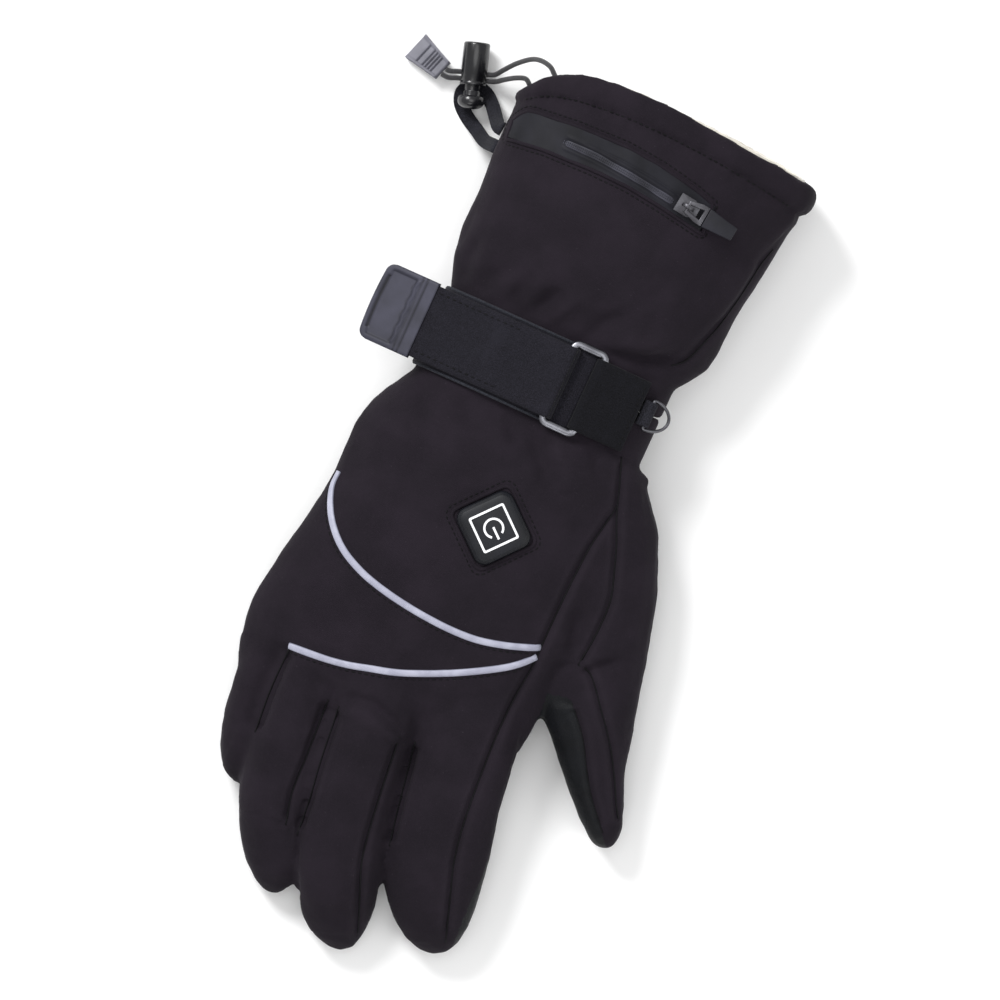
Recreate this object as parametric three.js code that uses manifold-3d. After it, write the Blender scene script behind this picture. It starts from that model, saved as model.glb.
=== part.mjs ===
// A padded winter glove for the right hand with a long gauntlet cuff and a heating switch on its back.
// It lies palm down: X runs towards the thumb, Y from the fingertips to the cuff, Z out of the back of the hand.
// Lengths are millimetres. Rows of the tables hold shares of the named sizes that they follow.
import * as THREE from "three";
import { mergeVertices } from "three/addons/utils/BufferGeometryUtils.js";
import Module from "manifold-3d";

const wasm = await Module();
wasm.setup();

// Hand, fingers and cuff
const handLength = 147; // middle of the wrist strap to the finger crotches
const handWidth = 122; // across the knuckles
const handHeight = 49; // back of the hand above the surface that the palm lies on
const cuffLength = 116; // middle of the wrist strap to the rim
const cuffWidth = 121;
const cuffHeight = 56;
const wristWidth = 96;
const wristHeight = 43;
const wristLift = 3; // underside of the cinched wrist above the surface
const wristShift = -4.5; // middle of the wrist in X
const thumbLength = 146;
const thumbWidth = 48;
const thumbHeight = 38;
const thumbRoot = { x: 34, y: -27 };
const shellWall = 4.5; // outer fabric, wadding and heating layer together
const seamGap = 0.3; // between pieces that touch
const palmShare = 0.4; // share of the hand's height that the palm panel takes
const fingerGap = 2.2;
const restPress = 1.4; // slice of the padded underside that lies flattened on the surface

// Hem, lining and drawcord
const hemProud = 1.2; // how far the rolled hem stands out from the cuff
const liningWall = 1.5;
const liningDepth = 92; // how far the light lining reaches in from the rim
const rimSlant = 5; // how much further the palm side of the rim reaches, at the thumb edge
const cordRadius = 1;

// Wrist strap, its ring and the small ring beside it
const strapWidth = 29.6;
const strapThickness = 1.8;
const sewnWidth = 32.6; // lower layer of the strap, sewn to the wrist, with bound edges
const strapLean = THREE.MathUtils.degToRad(-4.5); // turn of the strap in plan
const strapMargin = 2; // wrist groove past each edge of the strap
const buckleLength = 15.4; // along the strap
const buckleWire = 1.1; // radius
const buckleMiddle = 7.6; // in X
const anchorThickness = 1.6;
const anchorEnd = 34;
const tabLength = 22;
const tabWidth = 31.5;
const tabThickness = 3.4;
const strapFree = 26; // free stretch of strap between the wrist and the tab
const loopWidth = 10.2;
const loopThickness = 1.2;
const loopEnd = 40.3;
const loopShift = 3; // across the strap, towards the cuff
const smallRingReach = 8.3;
const smallRingWire = 0.6;
const smallRingTilt = THREE.MathUtils.degToRad(20);

// Heating switch
const switchTop = 17.6; // flat top of the key, square
const switchFlank = 3.2; // sloping flank, in plan and in height
const switchCorner = 1.6;
const switchRise = 4.4;
const switchSink = 3;
const switchPlace = { x: -3.3, y: -62 };
const switchTurn = THREE.MathUtils.degToRad(45);
const markSize = 15; // light square on the key
const markLine = 0.85;
const markThickness = 0.35;
const markRadius = 4.1;

// Reflective piping and the zip pocket
const pipingWidth = 3;
const pipingProud = 1.1;
const zipPanelWidth = 13.4;
const zipPanelThickness = 1.1;
const coilWidth = 3.2;
const coilThickness = 1.1;
const sliderLength = 9;
const sliderWidth = 7.4;
const sliderHeight = 2.6;
const sliderAlong = { x: 24.5, y: 80.6 };
const zipLean = THREE.MathUtils.degToRad(-11);
const pullFrame = 7.8;
const pullTab = 13;
const pullWidth = 8;
const pullThickness = 1;

// Cord lock and cord end
const lockRadius = 5.2;
const lockLength = 17;
const lockBore = 3.6;
const lockBoreDepth = 14;
const lockLean = THREE.MathUtils.degToRad(13.6);
const lockPlace = { x: -72.5, y: 106.75 };
const plungerRadius = 3.35;
const plungerNeck = 4.2; // bare neck between the barrel and the head
const plungerHead = { radius: 5.3, length: 5.2 };
const plungerTravel = 3.2;
const cordHoleFromEnd = 3.6; // middle of the cross hole above the barrel's open end
const cordEnd = { length: 15.3, wide: 12.4, narrow: 8.6, thickness: 4.2 };
const tapeWidth = 5.6;
const tapeThickness = 0.9;

// Sections of the cuff: shares of its length, width and height
const cuffSections = [
  { along: 0.212, side: 0.008, width: 0.875, height: 0.88 },
  { along: 0.28, side: 0.008, width: 0.905, height: 0.93 },
  { along: 0.38, side: 0.008, width: 0.926, height: 0.96 },
  { along: 0.51, side: 0.029, width: 0.942, height: 0.985 },
  { along: 0.64, side: 0.041, width: 0.975, height: 1 },
  { along: 0.77, side: 0.058, width: 0.992, height: 1 },
  { along: 0.9, side: 0.079, width: 1, height: 1 },
  { along: 1.03, side: 0.09, width: 1, height: 0.98 },
  { along: 1.2, side: 0.1, width: 0.99, height: 0.95 },
];

// Sections of the hand: shares of its length, width and height
const handSections = [
  { along: 0.163, side: -0.056, width: 0.9, height: 0.945 },
  { along: 0.212, side: -0.075, width: 0.922, height: 0.975 },
  { along: 0.279, side: -0.0885, width: 0.948, height: 1 },
  { along: 0.415, side: -0.0885, width: 0.964, height: 1 },
  { along: 0.551, side: -0.108, width: 0.987, height: 0.98 },
  { along: 0.687, side: -0.143, width: 1.008, height: 0.94 },
  { along: 0.823, side: -0.179, width: 1.003, height: 0.88 },
  { along: 0.932, side: -0.184, width: 0.975, height: 0.78 },
  { along: 1, side: -0.184, width: 0.926, height: 0.66 },
  { along: 1.034, side: -0.184, width: 0.8, height: 0.5 },
];

// Fingers: root and bend in shares of the hand's width, start in shares of its length
const fingers = [
  { name: "little", root: -0.54, bend: 0.02, start: 0.653, length: 94, width: 26.4, height: 27, lift: 0.42, tip: 0.17 },
  { name: "ring", root: -0.425, bend: 0.12, start: 0.721, length: 121, width: 31, height: 30, lift: 0.51, tip: 0.163 },
  { name: "middle", root: -0.189, bend: 0.145, start: 0.755, length: 128, width: 37.4, height: 31, lift: 0.57, tip: 0.15 },
  { name: "index", root: 0.119, bend: 0.119, start: 0.755, length: 117, width: 41.5, height: 31, lift: 0.51, tip: 0.178 },
];

// Taper that every finger shares
const fingerTaper = [
  { along: 0, width: 0.8, height: 0.86 },
  { along: 0.25, width: 1, height: 1 },
  { along: 0.5, width: 1, height: 1 },
  { along: 0.7, width: 0.98, height: 0.98 },
  { along: 0.8, width: 0.93, height: 0.94 },
  { along: 0.87, width: 0.83, height: 0.85 },
  { along: 0.93, width: 0.66, height: 0.68 },
  { along: 0.975, width: 0.42, height: 0.43 },
  { along: 1, width: 0.12, height: 0.12 },
];

// Gaps between neighbouring fingers: where each starts, and how far its top leans towards the little finger
const fingerGaps = [
  { from: 0, to: 1, start: 0.905, end: 1.31, lean: 0.05 },
  { from: 1, to: 2, start: 1.01, end: 1.56, lean: 0.014 },
  { from: 2, to: 3, start: 1.025, end: 1.6, lean: 0 },
];

// Sections of the thumb, from the wrist to its tip
const thumbSections = [
  { out: 0, down: 0, turn: 8, width: 0.54, height: 0.95, lift: 0.58 },
  { out: 0.027, down: 0.151, turn: 20, width: 0.875, height: 1, lift: 0.53 },
  { out: 0.068, down: 0.336, turn: 22, width: 1, height: 0.97, lift: 0.5 },
  { out: 0.116, down: 0.521, turn: 26, width: 0.96, height: 0.89, lift: 0.46 },
  { out: 0.179, down: 0.658, turn: 31, width: 0.7, height: 0.82, lift: 0.42 },
  { out: 0.233, down: 0.779, turn: 34, width: 0.51, height: 0.72, lift: 0.39 },
  { out: 0.28, down: 0.861, turn: 36, width: 0.39, height: 0.62, lift: 0.365 },
  { out: 0.31, down: 0.908, turn: 38, width: 0.29, height: 0.49, lift: 0.35 },
  { out: 0.323, down: 0.93, turn: 40, width: 0.19, height: 0.32, lift: 0.34 },
  { out: 0.331, down: 0.943, turn: 40, width: 0.05, height: 0.09, lift: 0.34 },
];

// Folds of the padded back: middle in shares of the hand's or cuff's length and width, turn in degrees from X
const folds = [
  { part: "hand", across: 0.09, along: 0.22, turn: -42, length: 0.15, spread: 0.045, depth: 0.05 },
  { part: "hand", across: -0.13, along: 0.15, turn: -75, length: 0.07, spread: 0.03, depth: 0.035 },
  { part: "cuff", across: -0.13, along: 0.22, turn: 68, length: 0.1, spread: 0.035, depth: 0.04 },
  { part: "cuff", across: 0.32, along: 0.21, turn: 38, length: 0.13, spread: 0.05, depth: 0.06 },
  { part: "cuff", across: 0.45, along: 0.55, turn: 74, length: 0.2, spread: 0.045, depth: 0.05 },
  { part: "hand", across: -0.53, along: 0.27, turn: -78, length: 0.14, spread: 0.04, depth: 0.05 },
];

// Rim and hem seam in plan: shares of the cuff's width and length
const rimLine = [
  { across: -0.66, along: 0.8 },
  { across: -0.496, along: 0.853 },
  { across: -0.43, along: 0.875 },
  { across: -0.397, along: 0.905 },
  { across: -0.364, along: 0.94 },
  { across: -0.314, along: 0.97 },
  { across: -0.248, along: 0.991 },
  { across: -0.124, along: 1 },
  { across: 0, along: 0.993 },
  { across: 0.165, along: 0.968 },
  { across: 0.33, along: 0.938 },
  { across: 0.496, along: 0.905 },
  { across: 0.562, along: 0.888 },
  { across: 0.595, along: 0.862 },
  { across: 0.7, along: 0.83 },
];
const hemLine = [
  { across: -0.66, along: 0.76 },
  { across: -0.496, along: 0.81 },
  { across: -0.405, along: 0.85 },
  { across: -0.34, along: 0.884 },
  { across: -0.248, along: 0.901 },
  { across: -0.083, along: 0.903 },
  { across: 0.083, along: 0.89 },
  { across: 0.248, along: 0.866 },
  { across: 0.372, along: 0.843 },
  { across: 0.512, along: 0.815 },
  { across: 0.595, along: 0.79 },
  { across: 0.7, along: 0.76 },
];

// Reflective piping: shares of the hand's width and length
const upperPiping = [
  { across: -0.557, along: 0.429 },
  { across: -0.541, along: 0.497 },
  { across: -0.5, along: 0.565 },
  { across: -0.443, along: 0.616 },
  { across: -0.361, along: 0.653 },
  { across: -0.246, along: 0.687 },
  { across: -0.123, along: 0.707 },
  { across: 0, along: 0.716 },
  { across: 0.123, along: 0.706 },
  { across: 0.242, along: 0.677 },
];
const lowerPiping = [
  { across: -0.512, along: 0.903 },
  { across: -0.41, along: 0.901 },
  { across: -0.311, along: 0.893 },
  { across: -0.205, along: 0.878 },
  { across: -0.098, along: 0.854 },
  { across: 0, along: 0.823 },
  { across: 0.098, along: 0.789 },
  { across: 0.18, along: 0.752 },
  { across: 0.242, along: 0.711 },
];

// Middle of the zip pocket's panel and of its coil: shares of the cuff's width and length
const zipLine = [
  { across: -0.405, along: 0.752 },
  { across: -0.289, along: 0.767 },
  { across: -0.124, along: 0.765 },
  { across: 0, along: 0.752 },
  { across: 0.124, along: 0.727 },
  { across: 0.273, along: 0.685 },
];
const coilLine = [
  { across: -0.24, along: 0.762 },
  { across: -0.124, along: 0.75 },
  { across: 0, along: 0.73 },
  { across: 0.083, along: 0.712 },
  { across: 0.16, along: 0.696 },
];

// Routes of the two drawcord ends and of the tape that tethers the cord lock
const upperCordRoute = [
  [-41.5, 111.9, 43.2],
  [-44, 114.2, 41.8],
  [-48, 115.4, 37],
  [-52, 114.9, 30.5],
  [-57, 111.8, 21.5],
  [-61, 108.1, 13],
  [-63.3, 105.7, 8.2],
  [-65.6, 104.7, 6.75],
  [-71.66, 103.25, 6.7],
  [-77.4, 101.86, 6.7],
  [-80.6, 100.9, 6.6],
  [-82.47, 100.96, 6.1],
];
const lowerCordRoute = [
  [-49.2, 105.4, 27],
  [-51.6, 107.2, 25.6],
  [-55.4, 106.4, 21],
  [-59.4, 104.6, 13.6],
  [-62.4, 102.95, 8.2],
  [-65, 102.2, 6.75],
  [-71.04, 100.73, 6.7],
  [-76.9, 99.3, 6.7],
  [-80.6, 98.2, 6.6],
  [-83.48, 98.57, 6.1],
];
const tapeRoute = [
  [-54.6, 78.5, 24],
  [-58.6, 79.4, 14],
  [-63, 82.6, 4.4],
  [-69, 86.8, 0.9],
  [-72.8, 91, 0.75],
  [-73.4, 95.6, 0.75],
  [-69.6, 98.6, 0.75],
  [-64.6, 97.6, 1.2],
  [-60.4, 93.6, 6],
  [-57.4, 89.2, 14],
  [-55.2, 86.2, 23],
];

const fabric = new THREE.MeshStandardMaterial({ color: 0x242123, roughness: 0.9, metalness: 0 });
const leather = new THREE.MeshStandardMaterial({ color: 0x15171c, roughness: 0.55, metalness: 0 });
const fleece = new THREE.MeshStandardMaterial({ color: 0xc9c2b6, roughness: 1, metalness: 0 });
const reflective = new THREE.MeshStandardMaterial({ color: 0xc9cadc, roughness: 0.45, metalness: 0 });
const rubber = new THREE.MeshStandardMaterial({ color: 0x23262d, roughness: 0.5, metalness: 0 });
const webbing = new THREE.MeshStandardMaterial({ color: 0x141519, roughness: 0.95, metalness: 0 });
const nickel = new THREE.MeshStandardMaterial({ color: 0xb3b3ba, roughness: 0.3, metalness: 1 });
const silicone = new THREE.MeshStandardMaterial({ color: 0x101418, roughness: 0.45, metalness: 0 });
const whitePrint = new THREE.MeshStandardMaterial({ color: 0xf4f4f6, roughness: 0.5, metalness: 0 });
const glossPlastic = new THREE.MeshStandardMaterial({ color: 0x0e0e11, roughness: 0.22, metalness: 0 });
const elastic = new THREE.MeshStandardMaterial({ color: 0x1b1b1f, roughness: 0.8, metalness: 0 });

const glove = new THREE.Group();
const cordParts = new THREE.Group();
glove.add(cordParts);

// Turns a closed geometry into a solid that can be joined and cut.
function solidOf(geometry) {
  const loose = geometry.index ? geometry.toNonIndexed() : geometry;
  const bare = new THREE.BufferGeometry().setAttribute("position", loose.getAttribute("position"));
  const merged = mergeVertices(bare, 1e-4);
  return new wasm.Manifold(
    new wasm.Mesh({
      numProp: 3,
      vertProperties: merged.getAttribute("position").array,
      triVerts: new Uint32Array(merged.index.array),
    }),
  );
}

function geometryOf(solid) {
  const { numProp, numVert, vertProperties, triVerts } = solid.getMesh();
  const positions = new Float32Array(numVert * 3);
  for (let i = 0; i < numVert; i++) {
    positions.set(vertProperties.subarray(i * numProp, i * numProp + 3), i * 3);
  }
  return new THREE.BufferGeometry()
    .setAttribute("position", new THREE.BufferAttribute(positions, 3))
    .setIndex(new THREE.BufferAttribute(triVerts, 1));
}

function addPiece(parent, name, shape, material) {
  const geometry = shape.isBufferGeometry ? shape : geometryOf(shape);
  const mesh = new THREE.Mesh(geometry, material);
  mesh.name = name;
  parent.add(mesh);
  return mesh;
}

// Joins equal rings of points into a closed skin, each end closed by a fan.
function loft(rings) {
  const count = rings[0].length;
  const points = rings.flat();
  const middleOf = (ring) => ring.reduce((sum, p) => sum.add(p), new THREE.Vector3()).divideScalar(count);
  const first = points.push(middleOf(rings[0])) - 1;
  const last = points.push(middleOf(rings.at(-1))) - 1;
  const end = (rings.length - 1) * count;
  const faces = [];
  for (let i = 0; i < count; i++) {
    const j = (i + 1) % count;
    for (let r = 0; r < end; r += count) {
      faces.push(r + i, r + j, r + count + j, r + i, r + count + j, r + count + i);
    }
    faces.push(first, j, i, last, end + i, end + j);
  }
  const positions = new Float32Array(points.flatMap((p) => [p.x, p.y, p.z]));
  return new THREE.BufferGeometry()
    .setAttribute("position", new THREE.BufferAttribute(positions, 3))
    .setIndex(faces);
}

// Reads a column of a table between its rows on a smooth curve that never overshoots them.
function between(rows, column, at) {
  const last = rows.length - 1;
  if (at <= rows[0].at) return rows[0][column];
  if (at >= rows[last].at) return rows[last][column];
  let i = 0;
  while (rows[i + 1].at < at) i++;
  const slope = (k) => (rows[k + 1][column] - rows[k][column]) / (rows[k + 1].at - rows[k].at);
  const tangent = (k) => {
    if (k === 0 || k === last) return slope(Math.min(k, last - 1));
    const before = slope(k - 1);
    const after = slope(k);
    return before * after <= 0 ? 0 : (2 * before * after) / (before + after);
  };
  const step = rows[i + 1].at - rows[i].at;
  const t = (at - rows[i].at) / step;
  const rise = rows[i + 1][column] - rows[i][column];
  const a = tangent(i) * step;
  const b = tangent(i + 1) * step;
  return rows[i][column] + a * t + (3 * rise - 2 * a - b) * t * t + (a + b - 2 * rise) * t * t * t;
}

// Height that the folds take from the back of the glove at a place in plan.
function foldDepth(x, y) {
  return folds.reduce((sum, fold) => {
    const length = fold.part === "hand" ? handLength : cuffLength;
    const width = fold.part === "hand" ? handWidth : cuffWidth;
    const middle = fold.part === "hand" ? -fold.along * length : fold.along * length;
    const turn = THREE.MathUtils.degToRad(fold.turn);
    const dx = x - fold.across * width;
    const dy = y - middle;
    const u = (dx * Math.cos(turn) + dy * Math.sin(turn)) / (fold.length * length);
    const v = (dy * Math.cos(turn) - dx * Math.sin(turn)) / (fold.spread * width);
    return sum + fold.depth * handHeight * Math.exp(-u * u - v * v);
  }, 0);
}

// Closed solid through stations, its skin moved out by offset and flattened where it meets the surface below.
const sectionPower = 2.4;
function limb(stations, offset, sides, folded = false) {
  const root = stations[0];
  const tip = stations.at(-1);
  const reach = Math.hypot(tip.x - root.x, tip.y - root.y);
  const stretch = 1 + offset / reach;
  const floor = Math.max(-offset, 0);
  const rings = stations.map((s) => {
    const x = root.x + (s.x - root.x) * stretch;
    const y = root.y + (s.y - root.y) * stretch;
    const halfWidth = Math.max(s.width / 2 + offset, cordRadius);
    const halfHeight = Math.max(s.height / 2 + offset, cordRadius);
    const ring = [];
    for (let i = 0; i < sides; i++) {
      const angle = (2 * Math.PI * i) / sides;
      const across = halfWidth * Math.sign(Math.cos(angle)) * Math.abs(Math.cos(angle)) ** (2 / sectionPower);
      const up = halfHeight * Math.sign(Math.sin(angle)) * Math.abs(Math.sin(angle)) ** (2 / sectionPower);
      const px = x + across * Math.cos(s.turn);
      const py = y + across * Math.sin(s.turn);
      const sunk = folded && up > 0 ? foldDepth(px, py) * Math.sin(angle) : 0;
      ring.push(new THREE.Vector3(px, py, Math.max(s.lift + up - sunk, floor)));
    }
    return ring;
  });
  return solidOf(loft(rings));
}

// Stations of the sleeve, from the finger end to past the rim. Those beside the strap are alike, so it lies flat.
const groove = strapWidth / 2 + strapMargin;
function wristStation(v) {
  return {
    at: v * Math.cos(strapLean),
    x: wristShift - v * Math.sin(strapLean),
    width: wristWidth,
    height: wristHeight,
    lift: wristLift + wristHeight / 2,
    turn: strapLean,
  };
}
const sleeveRows = [
  ...handSections.toReversed().map((row) => ({
    at: -row.along * handLength,
    x: row.side * handWidth,
    width: row.width * handWidth,
    height: row.height * handHeight + restPress,
    lift: (row.height * handHeight - restPress) / 2,
    turn: 0,
  })),
  wristStation(-groove),
  wristStation(groove),
  ...cuffSections.map((row) => ({
    at: row.along * cuffLength,
    x: row.side * cuffWidth,
    width: row.width * cuffWidth,
    height: row.height * cuffHeight + restPress,
    lift: (row.height * cuffHeight - restPress) / 2,
    turn: 0,
  })),
];

function stationAt(rows, at) {
  const station = { y: at };
  for (const column of ["x", "width", "height", "lift", "turn"]) station[column] = between(rows, column, at);
  return station;
}

const sleeveStep = 9;
const sleeveStations = [];
sleeveRows.forEach((row, i) => {
  const next = sleeveRows[i + 1];
  const steps = next ? Math.max(1, Math.round((next.at - row.at) / sleeveStep)) : 1;
  const flat = next && row.turn !== 0 && next.turn !== 0;
  for (let k = 0; k < (flat ? 1 : steps); k++) {
    const at = next ? row.at + ((next.at - row.at) * k) / steps : row.at;
    sleeveStations.push(stationAt(sleeveRows, at));
  }
});
sleeveStations.reverse();

function fingerPlace(finger, share) {
  const bend = finger.bend * handWidth * share ** 3;
  return {
    x: finger.root * handWidth + bend,
    y: -finger.start * handLength - finger.length * share,
    lift: handHeight * (finger.lift + (finger.tip - finger.lift) * share ** 2),
    turn: 0,
  };
}

function fingerStations(finger) {
  return fingerTaper.map((row) => ({
    ...fingerPlace(finger, row.along),
    width: row.width * finger.width,
    height: row.height * finger.height,
  }));
}

const thumbStations = thumbSections.map((row) => ({
  x: thumbRoot.x + row.out * thumbLength,
  y: thumbRoot.y - row.down * thumbLength,
  width: row.width * thumbWidth,
  height: row.height * thumbHeight,
  lift: row.lift * thumbHeight,
  turn: THREE.MathUtils.degToRad(row.turn),
}));

// Whole outside of the glove, filled, with its skin moved out by offset.
function gloveForm(offset, sleeveSides, fingerSides) {
  return wasm.Manifold.union([
    limb(sleeveStations, offset, sleeveSides, true),
    limb(thumbStations, offset, fingerSides),
    ...fingers.map((finger) => limb(fingerStations(finger), offset, fingerSides)),
  ]);
}

// Upright blade between two neighbouring fingers. Its top leans towards the little finger.
function fingerBlade(gap, thickness) {
  const left = fingers[gap.from];
  const right = fingers[gap.to];
  const steps = 7;
  const middle = [];
  for (let i = 0; i <= steps; i++) {
    const y = -handLength * (gap.start + ((gap.end - gap.start) * i) / steps);
    const edgeOf = (finger, sign) => {
      const share = Math.min(1, (-y - finger.start * handLength) / finger.length);
      const taper = fingerTaper.map((row) => ({ at: row.along, width: row.width }));
      return fingerPlace(finger, share).x + (sign * between(taper, "width", Math.min(share, 0.8)) * finger.width) / 2;
    };
    middle.push(new THREE.Vector2((edgeOf(left, 1) + edgeOf(right, -1)) / 2, y));
  }
  const outline = bandPoints(middle, thickness);
  const lean = gap.lean * handWidth;
  const ringAt = (z) => outline.map((p) => new THREE.Vector3(p.x - lean * (2 * (z / handHeight) - 1), p.y, z));
  return solidOf(loft([ringAt(-shellWall), ringAt(handHeight + shellWall)]));
}

// Outline of a band of one width along a line of points.
function bandPoints(line, width) {
  const sides = [[], []];
  line.forEach((point, i) => {
    const before = line[Math.max(i - 1, 0)];
    const after = line[Math.min(i + 1, line.length - 1)];
    const across = new THREE.Vector2(before.y - after.y, after.x - before.x).normalize().multiplyScalar(width / 2);
    sides[0].push(point.clone().sub(across));
    sides[1].push(point.clone().add(across));
  });
  return [...sides[0], ...sides[1].reverse()];
}

function smoothLine(rows, steps) {
  return new THREE.SplineCurve(rows).getSpacedPoints(steps);
}

function planPoint(row, width, length) {
  return new THREE.Vector2(row.across * width, row.along * length);
}

const skyward = 2 * cuffHeight; // height past everything, for cutters
function prism(outline, low = 0, high = skyward) {
  const geometry = new THREE.ExtrudeGeometry(new THREE.Shape(outline), { depth: high - low, bevelEnabled: false });
  return solidOf(geometry.translate(0, 0, low));
}

function slab(minimum, maximum) {
  const size = new THREE.Vector3().subVectors(maximum, minimum);
  const middle = new THREE.Vector3().addVectors(maximum, minimum).divideScalar(2);
  return solidOf(new THREE.BoxGeometry(size.x, size.y, size.z).translate(middle.x, middle.y, middle.z));
}

// Shell of the glove
const sleeveSides = 36;
const fingerSides = 16;
const innerSleeveSides = 28;
const innerFingerSides = 12;
const outside = gloveForm(0, sleeveSides, fingerSides);
const inside = gloveForm(-shellWall, innerSleeveSides, innerFingerSides);
const blades = wasm.Manifold.union(fingerGaps.map((gap) => fingerBlade(gap, fingerGap)));
const thickBlades = wasm.Manifold.union(fingerGaps.map((gap) => fingerBlade(gap, fingerGap + 1.22 * shellWall)));
const far = 3 * handLength;
const cuffSide = slab(new THREE.Vector3(-far, seamGap / 2, -far), new THREE.Vector3(far, far, far));
const handSide = slab(new THREE.Vector3(-far, -far, -far), new THREE.Vector3(far, -seamGap / 2, far));
const shell = outside.subtract(blades).subtract(inside.subtract(thickBlades));

// Ruled cutter below a line across the cuff. The palm side of the line reaches further, most at the thumb edge.
function belowLine(rows, shift) {
  const line = rows.map((row) => planPoint(row, cuffWidth, cuffLength));
  const bottom = -cuffLength;
  const ringAt = (z) => {
    const ring = line.map((p) => {
      const slant = rimSlant * (1 - z / cuffHeight) * Math.max(0, 0.4 + p.x / cuffWidth);
      return new THREE.Vector3(p.x, p.y + slant + shift, z);
    });
    return [...ring.reverse(), new THREE.Vector3(ring.at(-1).x, bottom, z), new THREE.Vector3(ring[0].x, bottom, z)];
  };
  return solidOf(loft([ringAt(-shellWall), ringAt(skyward)]));
}

const belowRim = belowLine(rimLine, 0);
addPiece(glove, "cuff", shell.intersect(cuffSide).intersect(belowLine(hemLine, -seamGap)), fabric);

const hemOutside = limb(sleeveStations, hemProud, sleeveSides, true);
const hemInside = limb(sleeveStations, -shellWall, innerSleeveSides, true);
const hem = hemOutside.subtract(hemInside).intersect(belowRim).subtract(belowLine(hemLine, 0));
addPiece(glove, "hem_band", hem, fabric);

const liningOutside = limb(sleeveStations, -shellWall - seamGap, innerSleeveSides, true);
const liningInside = limb(sleeveStations, -shellWall - seamGap - liningWall, innerSleeveSides, true);
const liningEnd = slab(new THREE.Vector3(-far, cuffLength - liningDepth, -far), new THREE.Vector3(far, far, far));
const lining = liningOutside.subtract(liningInside).intersect(belowLine(rimLine, seamGap)).intersect(liningEnd);
addPiece(glove, "cuff_lining", lining, fleece);

// The hand is two panels sewn together along a line that sinks towards the fingertips.
const panelLine = [
  { along: -0.1, height: 1.1 },
  { along: 0.3, height: 1 },
  { along: 0.8, height: 0.9 },
  { along: 1.2, height: 0.72 },
  { along: 1.7, height: 0.48 },
];
function belowPanelLine(shift) {
  const ringAt = (x) => {
    const line = panelLine.map(
      (row) => new THREE.Vector3(x, -row.along * handLength, row.height * palmShare * handHeight + shift),
    );
    const deep = -handHeight;
    return [...line, new THREE.Vector3(x, line.at(-1).y, deep), new THREE.Vector3(x, line[0].y, deep)];
  };
  return solidOf(loft([ringAt(-far), ringAt(far)]));
}
const hand = shell.intersect(handSide);
addPiece(glove, "palm_panel", hand.intersect(belowPanelLine(0)), leather);
addPiece(glove, "hand_back", hand.subtract(belowPanelLine(seamGap)), fabric);

// Skin pieces lie on the back of the glove: an outline in plan, cut between two offsets of its form.
function skinPiece(outline, low, high, floor) {
  const cut = (offset) => gloveForm(offset, sleeveSides, fingerSides);
  return prism(outline, floor).intersect(cut(high)).subtract(cut(low));
}

const pipingSteps = 22;
function piping(name, rows) {
  const line = rows.map((row) => planPoint(row, handWidth, -handLength));
  const outline = bandPoints(smoothLine(line, pipingSteps), pipingWidth);
  addPiece(glove, name, skinPiece(outline, seamGap, seamGap + pipingProud, handHeight / 2), reflective);
}
piping("piping_upper", upperPiping);
piping("piping_lower", lowerPiping);

const zipMiddle = zipLine.map((row) => planPoint(row, cuffWidth, cuffLength));
const zipOutline = bandPoints(smoothLine(zipMiddle, 10), zipPanelWidth);
const zipTop = seamGap + zipPanelThickness;
addPiece(glove, "zip_panel", skinPiece(zipOutline, seamGap, zipTop, cuffHeight / 3), rubber);
const coilMiddle = coilLine.map((row) => planPoint(row, cuffWidth, cuffLength));
const coilOutline = bandPoints(smoothLine(coilMiddle, 8), coilWidth);
const coilBase = zipTop + seamGap;
addPiece(glove, "zip_coil", skinPiece(coilOutline, coilBase, coilBase + coilThickness, cuffHeight / 3), rubber);

// Place on the back of the glove: its height there, found by looking straight down.
const outsideMesh = new THREE.Mesh(geometryOf(outside), new THREE.MeshBasicMaterial({ side: THREE.DoubleSide }));
function seatOn(x, y) {
  const ray = new THREE.Raycaster(new THREE.Vector3(x, y, skyward), new THREE.Vector3(0, 0, -1));
  const hit = ray.intersectObject(outsideMesh)[0];
  return hit.point.z;
}

// Frame on the back of the glove: X along a direction in plan, Z out of the fabric.
function skinFrame(place, turn, span) {
  const ahead = new THREE.Vector2(Math.cos(turn), Math.sin(turn)).multiplyScalar(span);
  const point = (u, v) => {
    const x = place.x + ahead.x * u - ahead.y * v;
    const y = place.y + ahead.y * u + ahead.x * v;
    return new THREE.Vector3(x, y, seatOn(x, y));
  };
  const along = point(1, 0).sub(point(-1, 0)).normalize();
  const across = point(0, 1).sub(point(0, -1)).normalize();
  const up = new THREE.Vector3().crossVectors(along, across).normalize();
  across.crossVectors(up, along);
  return new THREE.Matrix4().makeBasis(along, across, up).setPosition(point(0, 0));
}

function groupAt(parent, matrix) {
  const group = new THREE.Group();
  group.applyMatrix4(matrix);
  parent.add(group);
  return group;
}

function roundedBox(width, height, corner) {
  const x = width / 2 - corner;
  const y = height / 2 - corner;
  const shape = new THREE.Shape();
  shape.absarc(x, y, corner, 0, Math.PI / 2);
  shape.absarc(-x, y, corner, Math.PI / 2, Math.PI);
  shape.absarc(-x, -y, corner, Math.PI, 1.5 * Math.PI);
  shape.absarc(x, -y, corner, 1.5 * Math.PI, 2 * Math.PI);
  shape.closePath();
  return shape;
}

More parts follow.
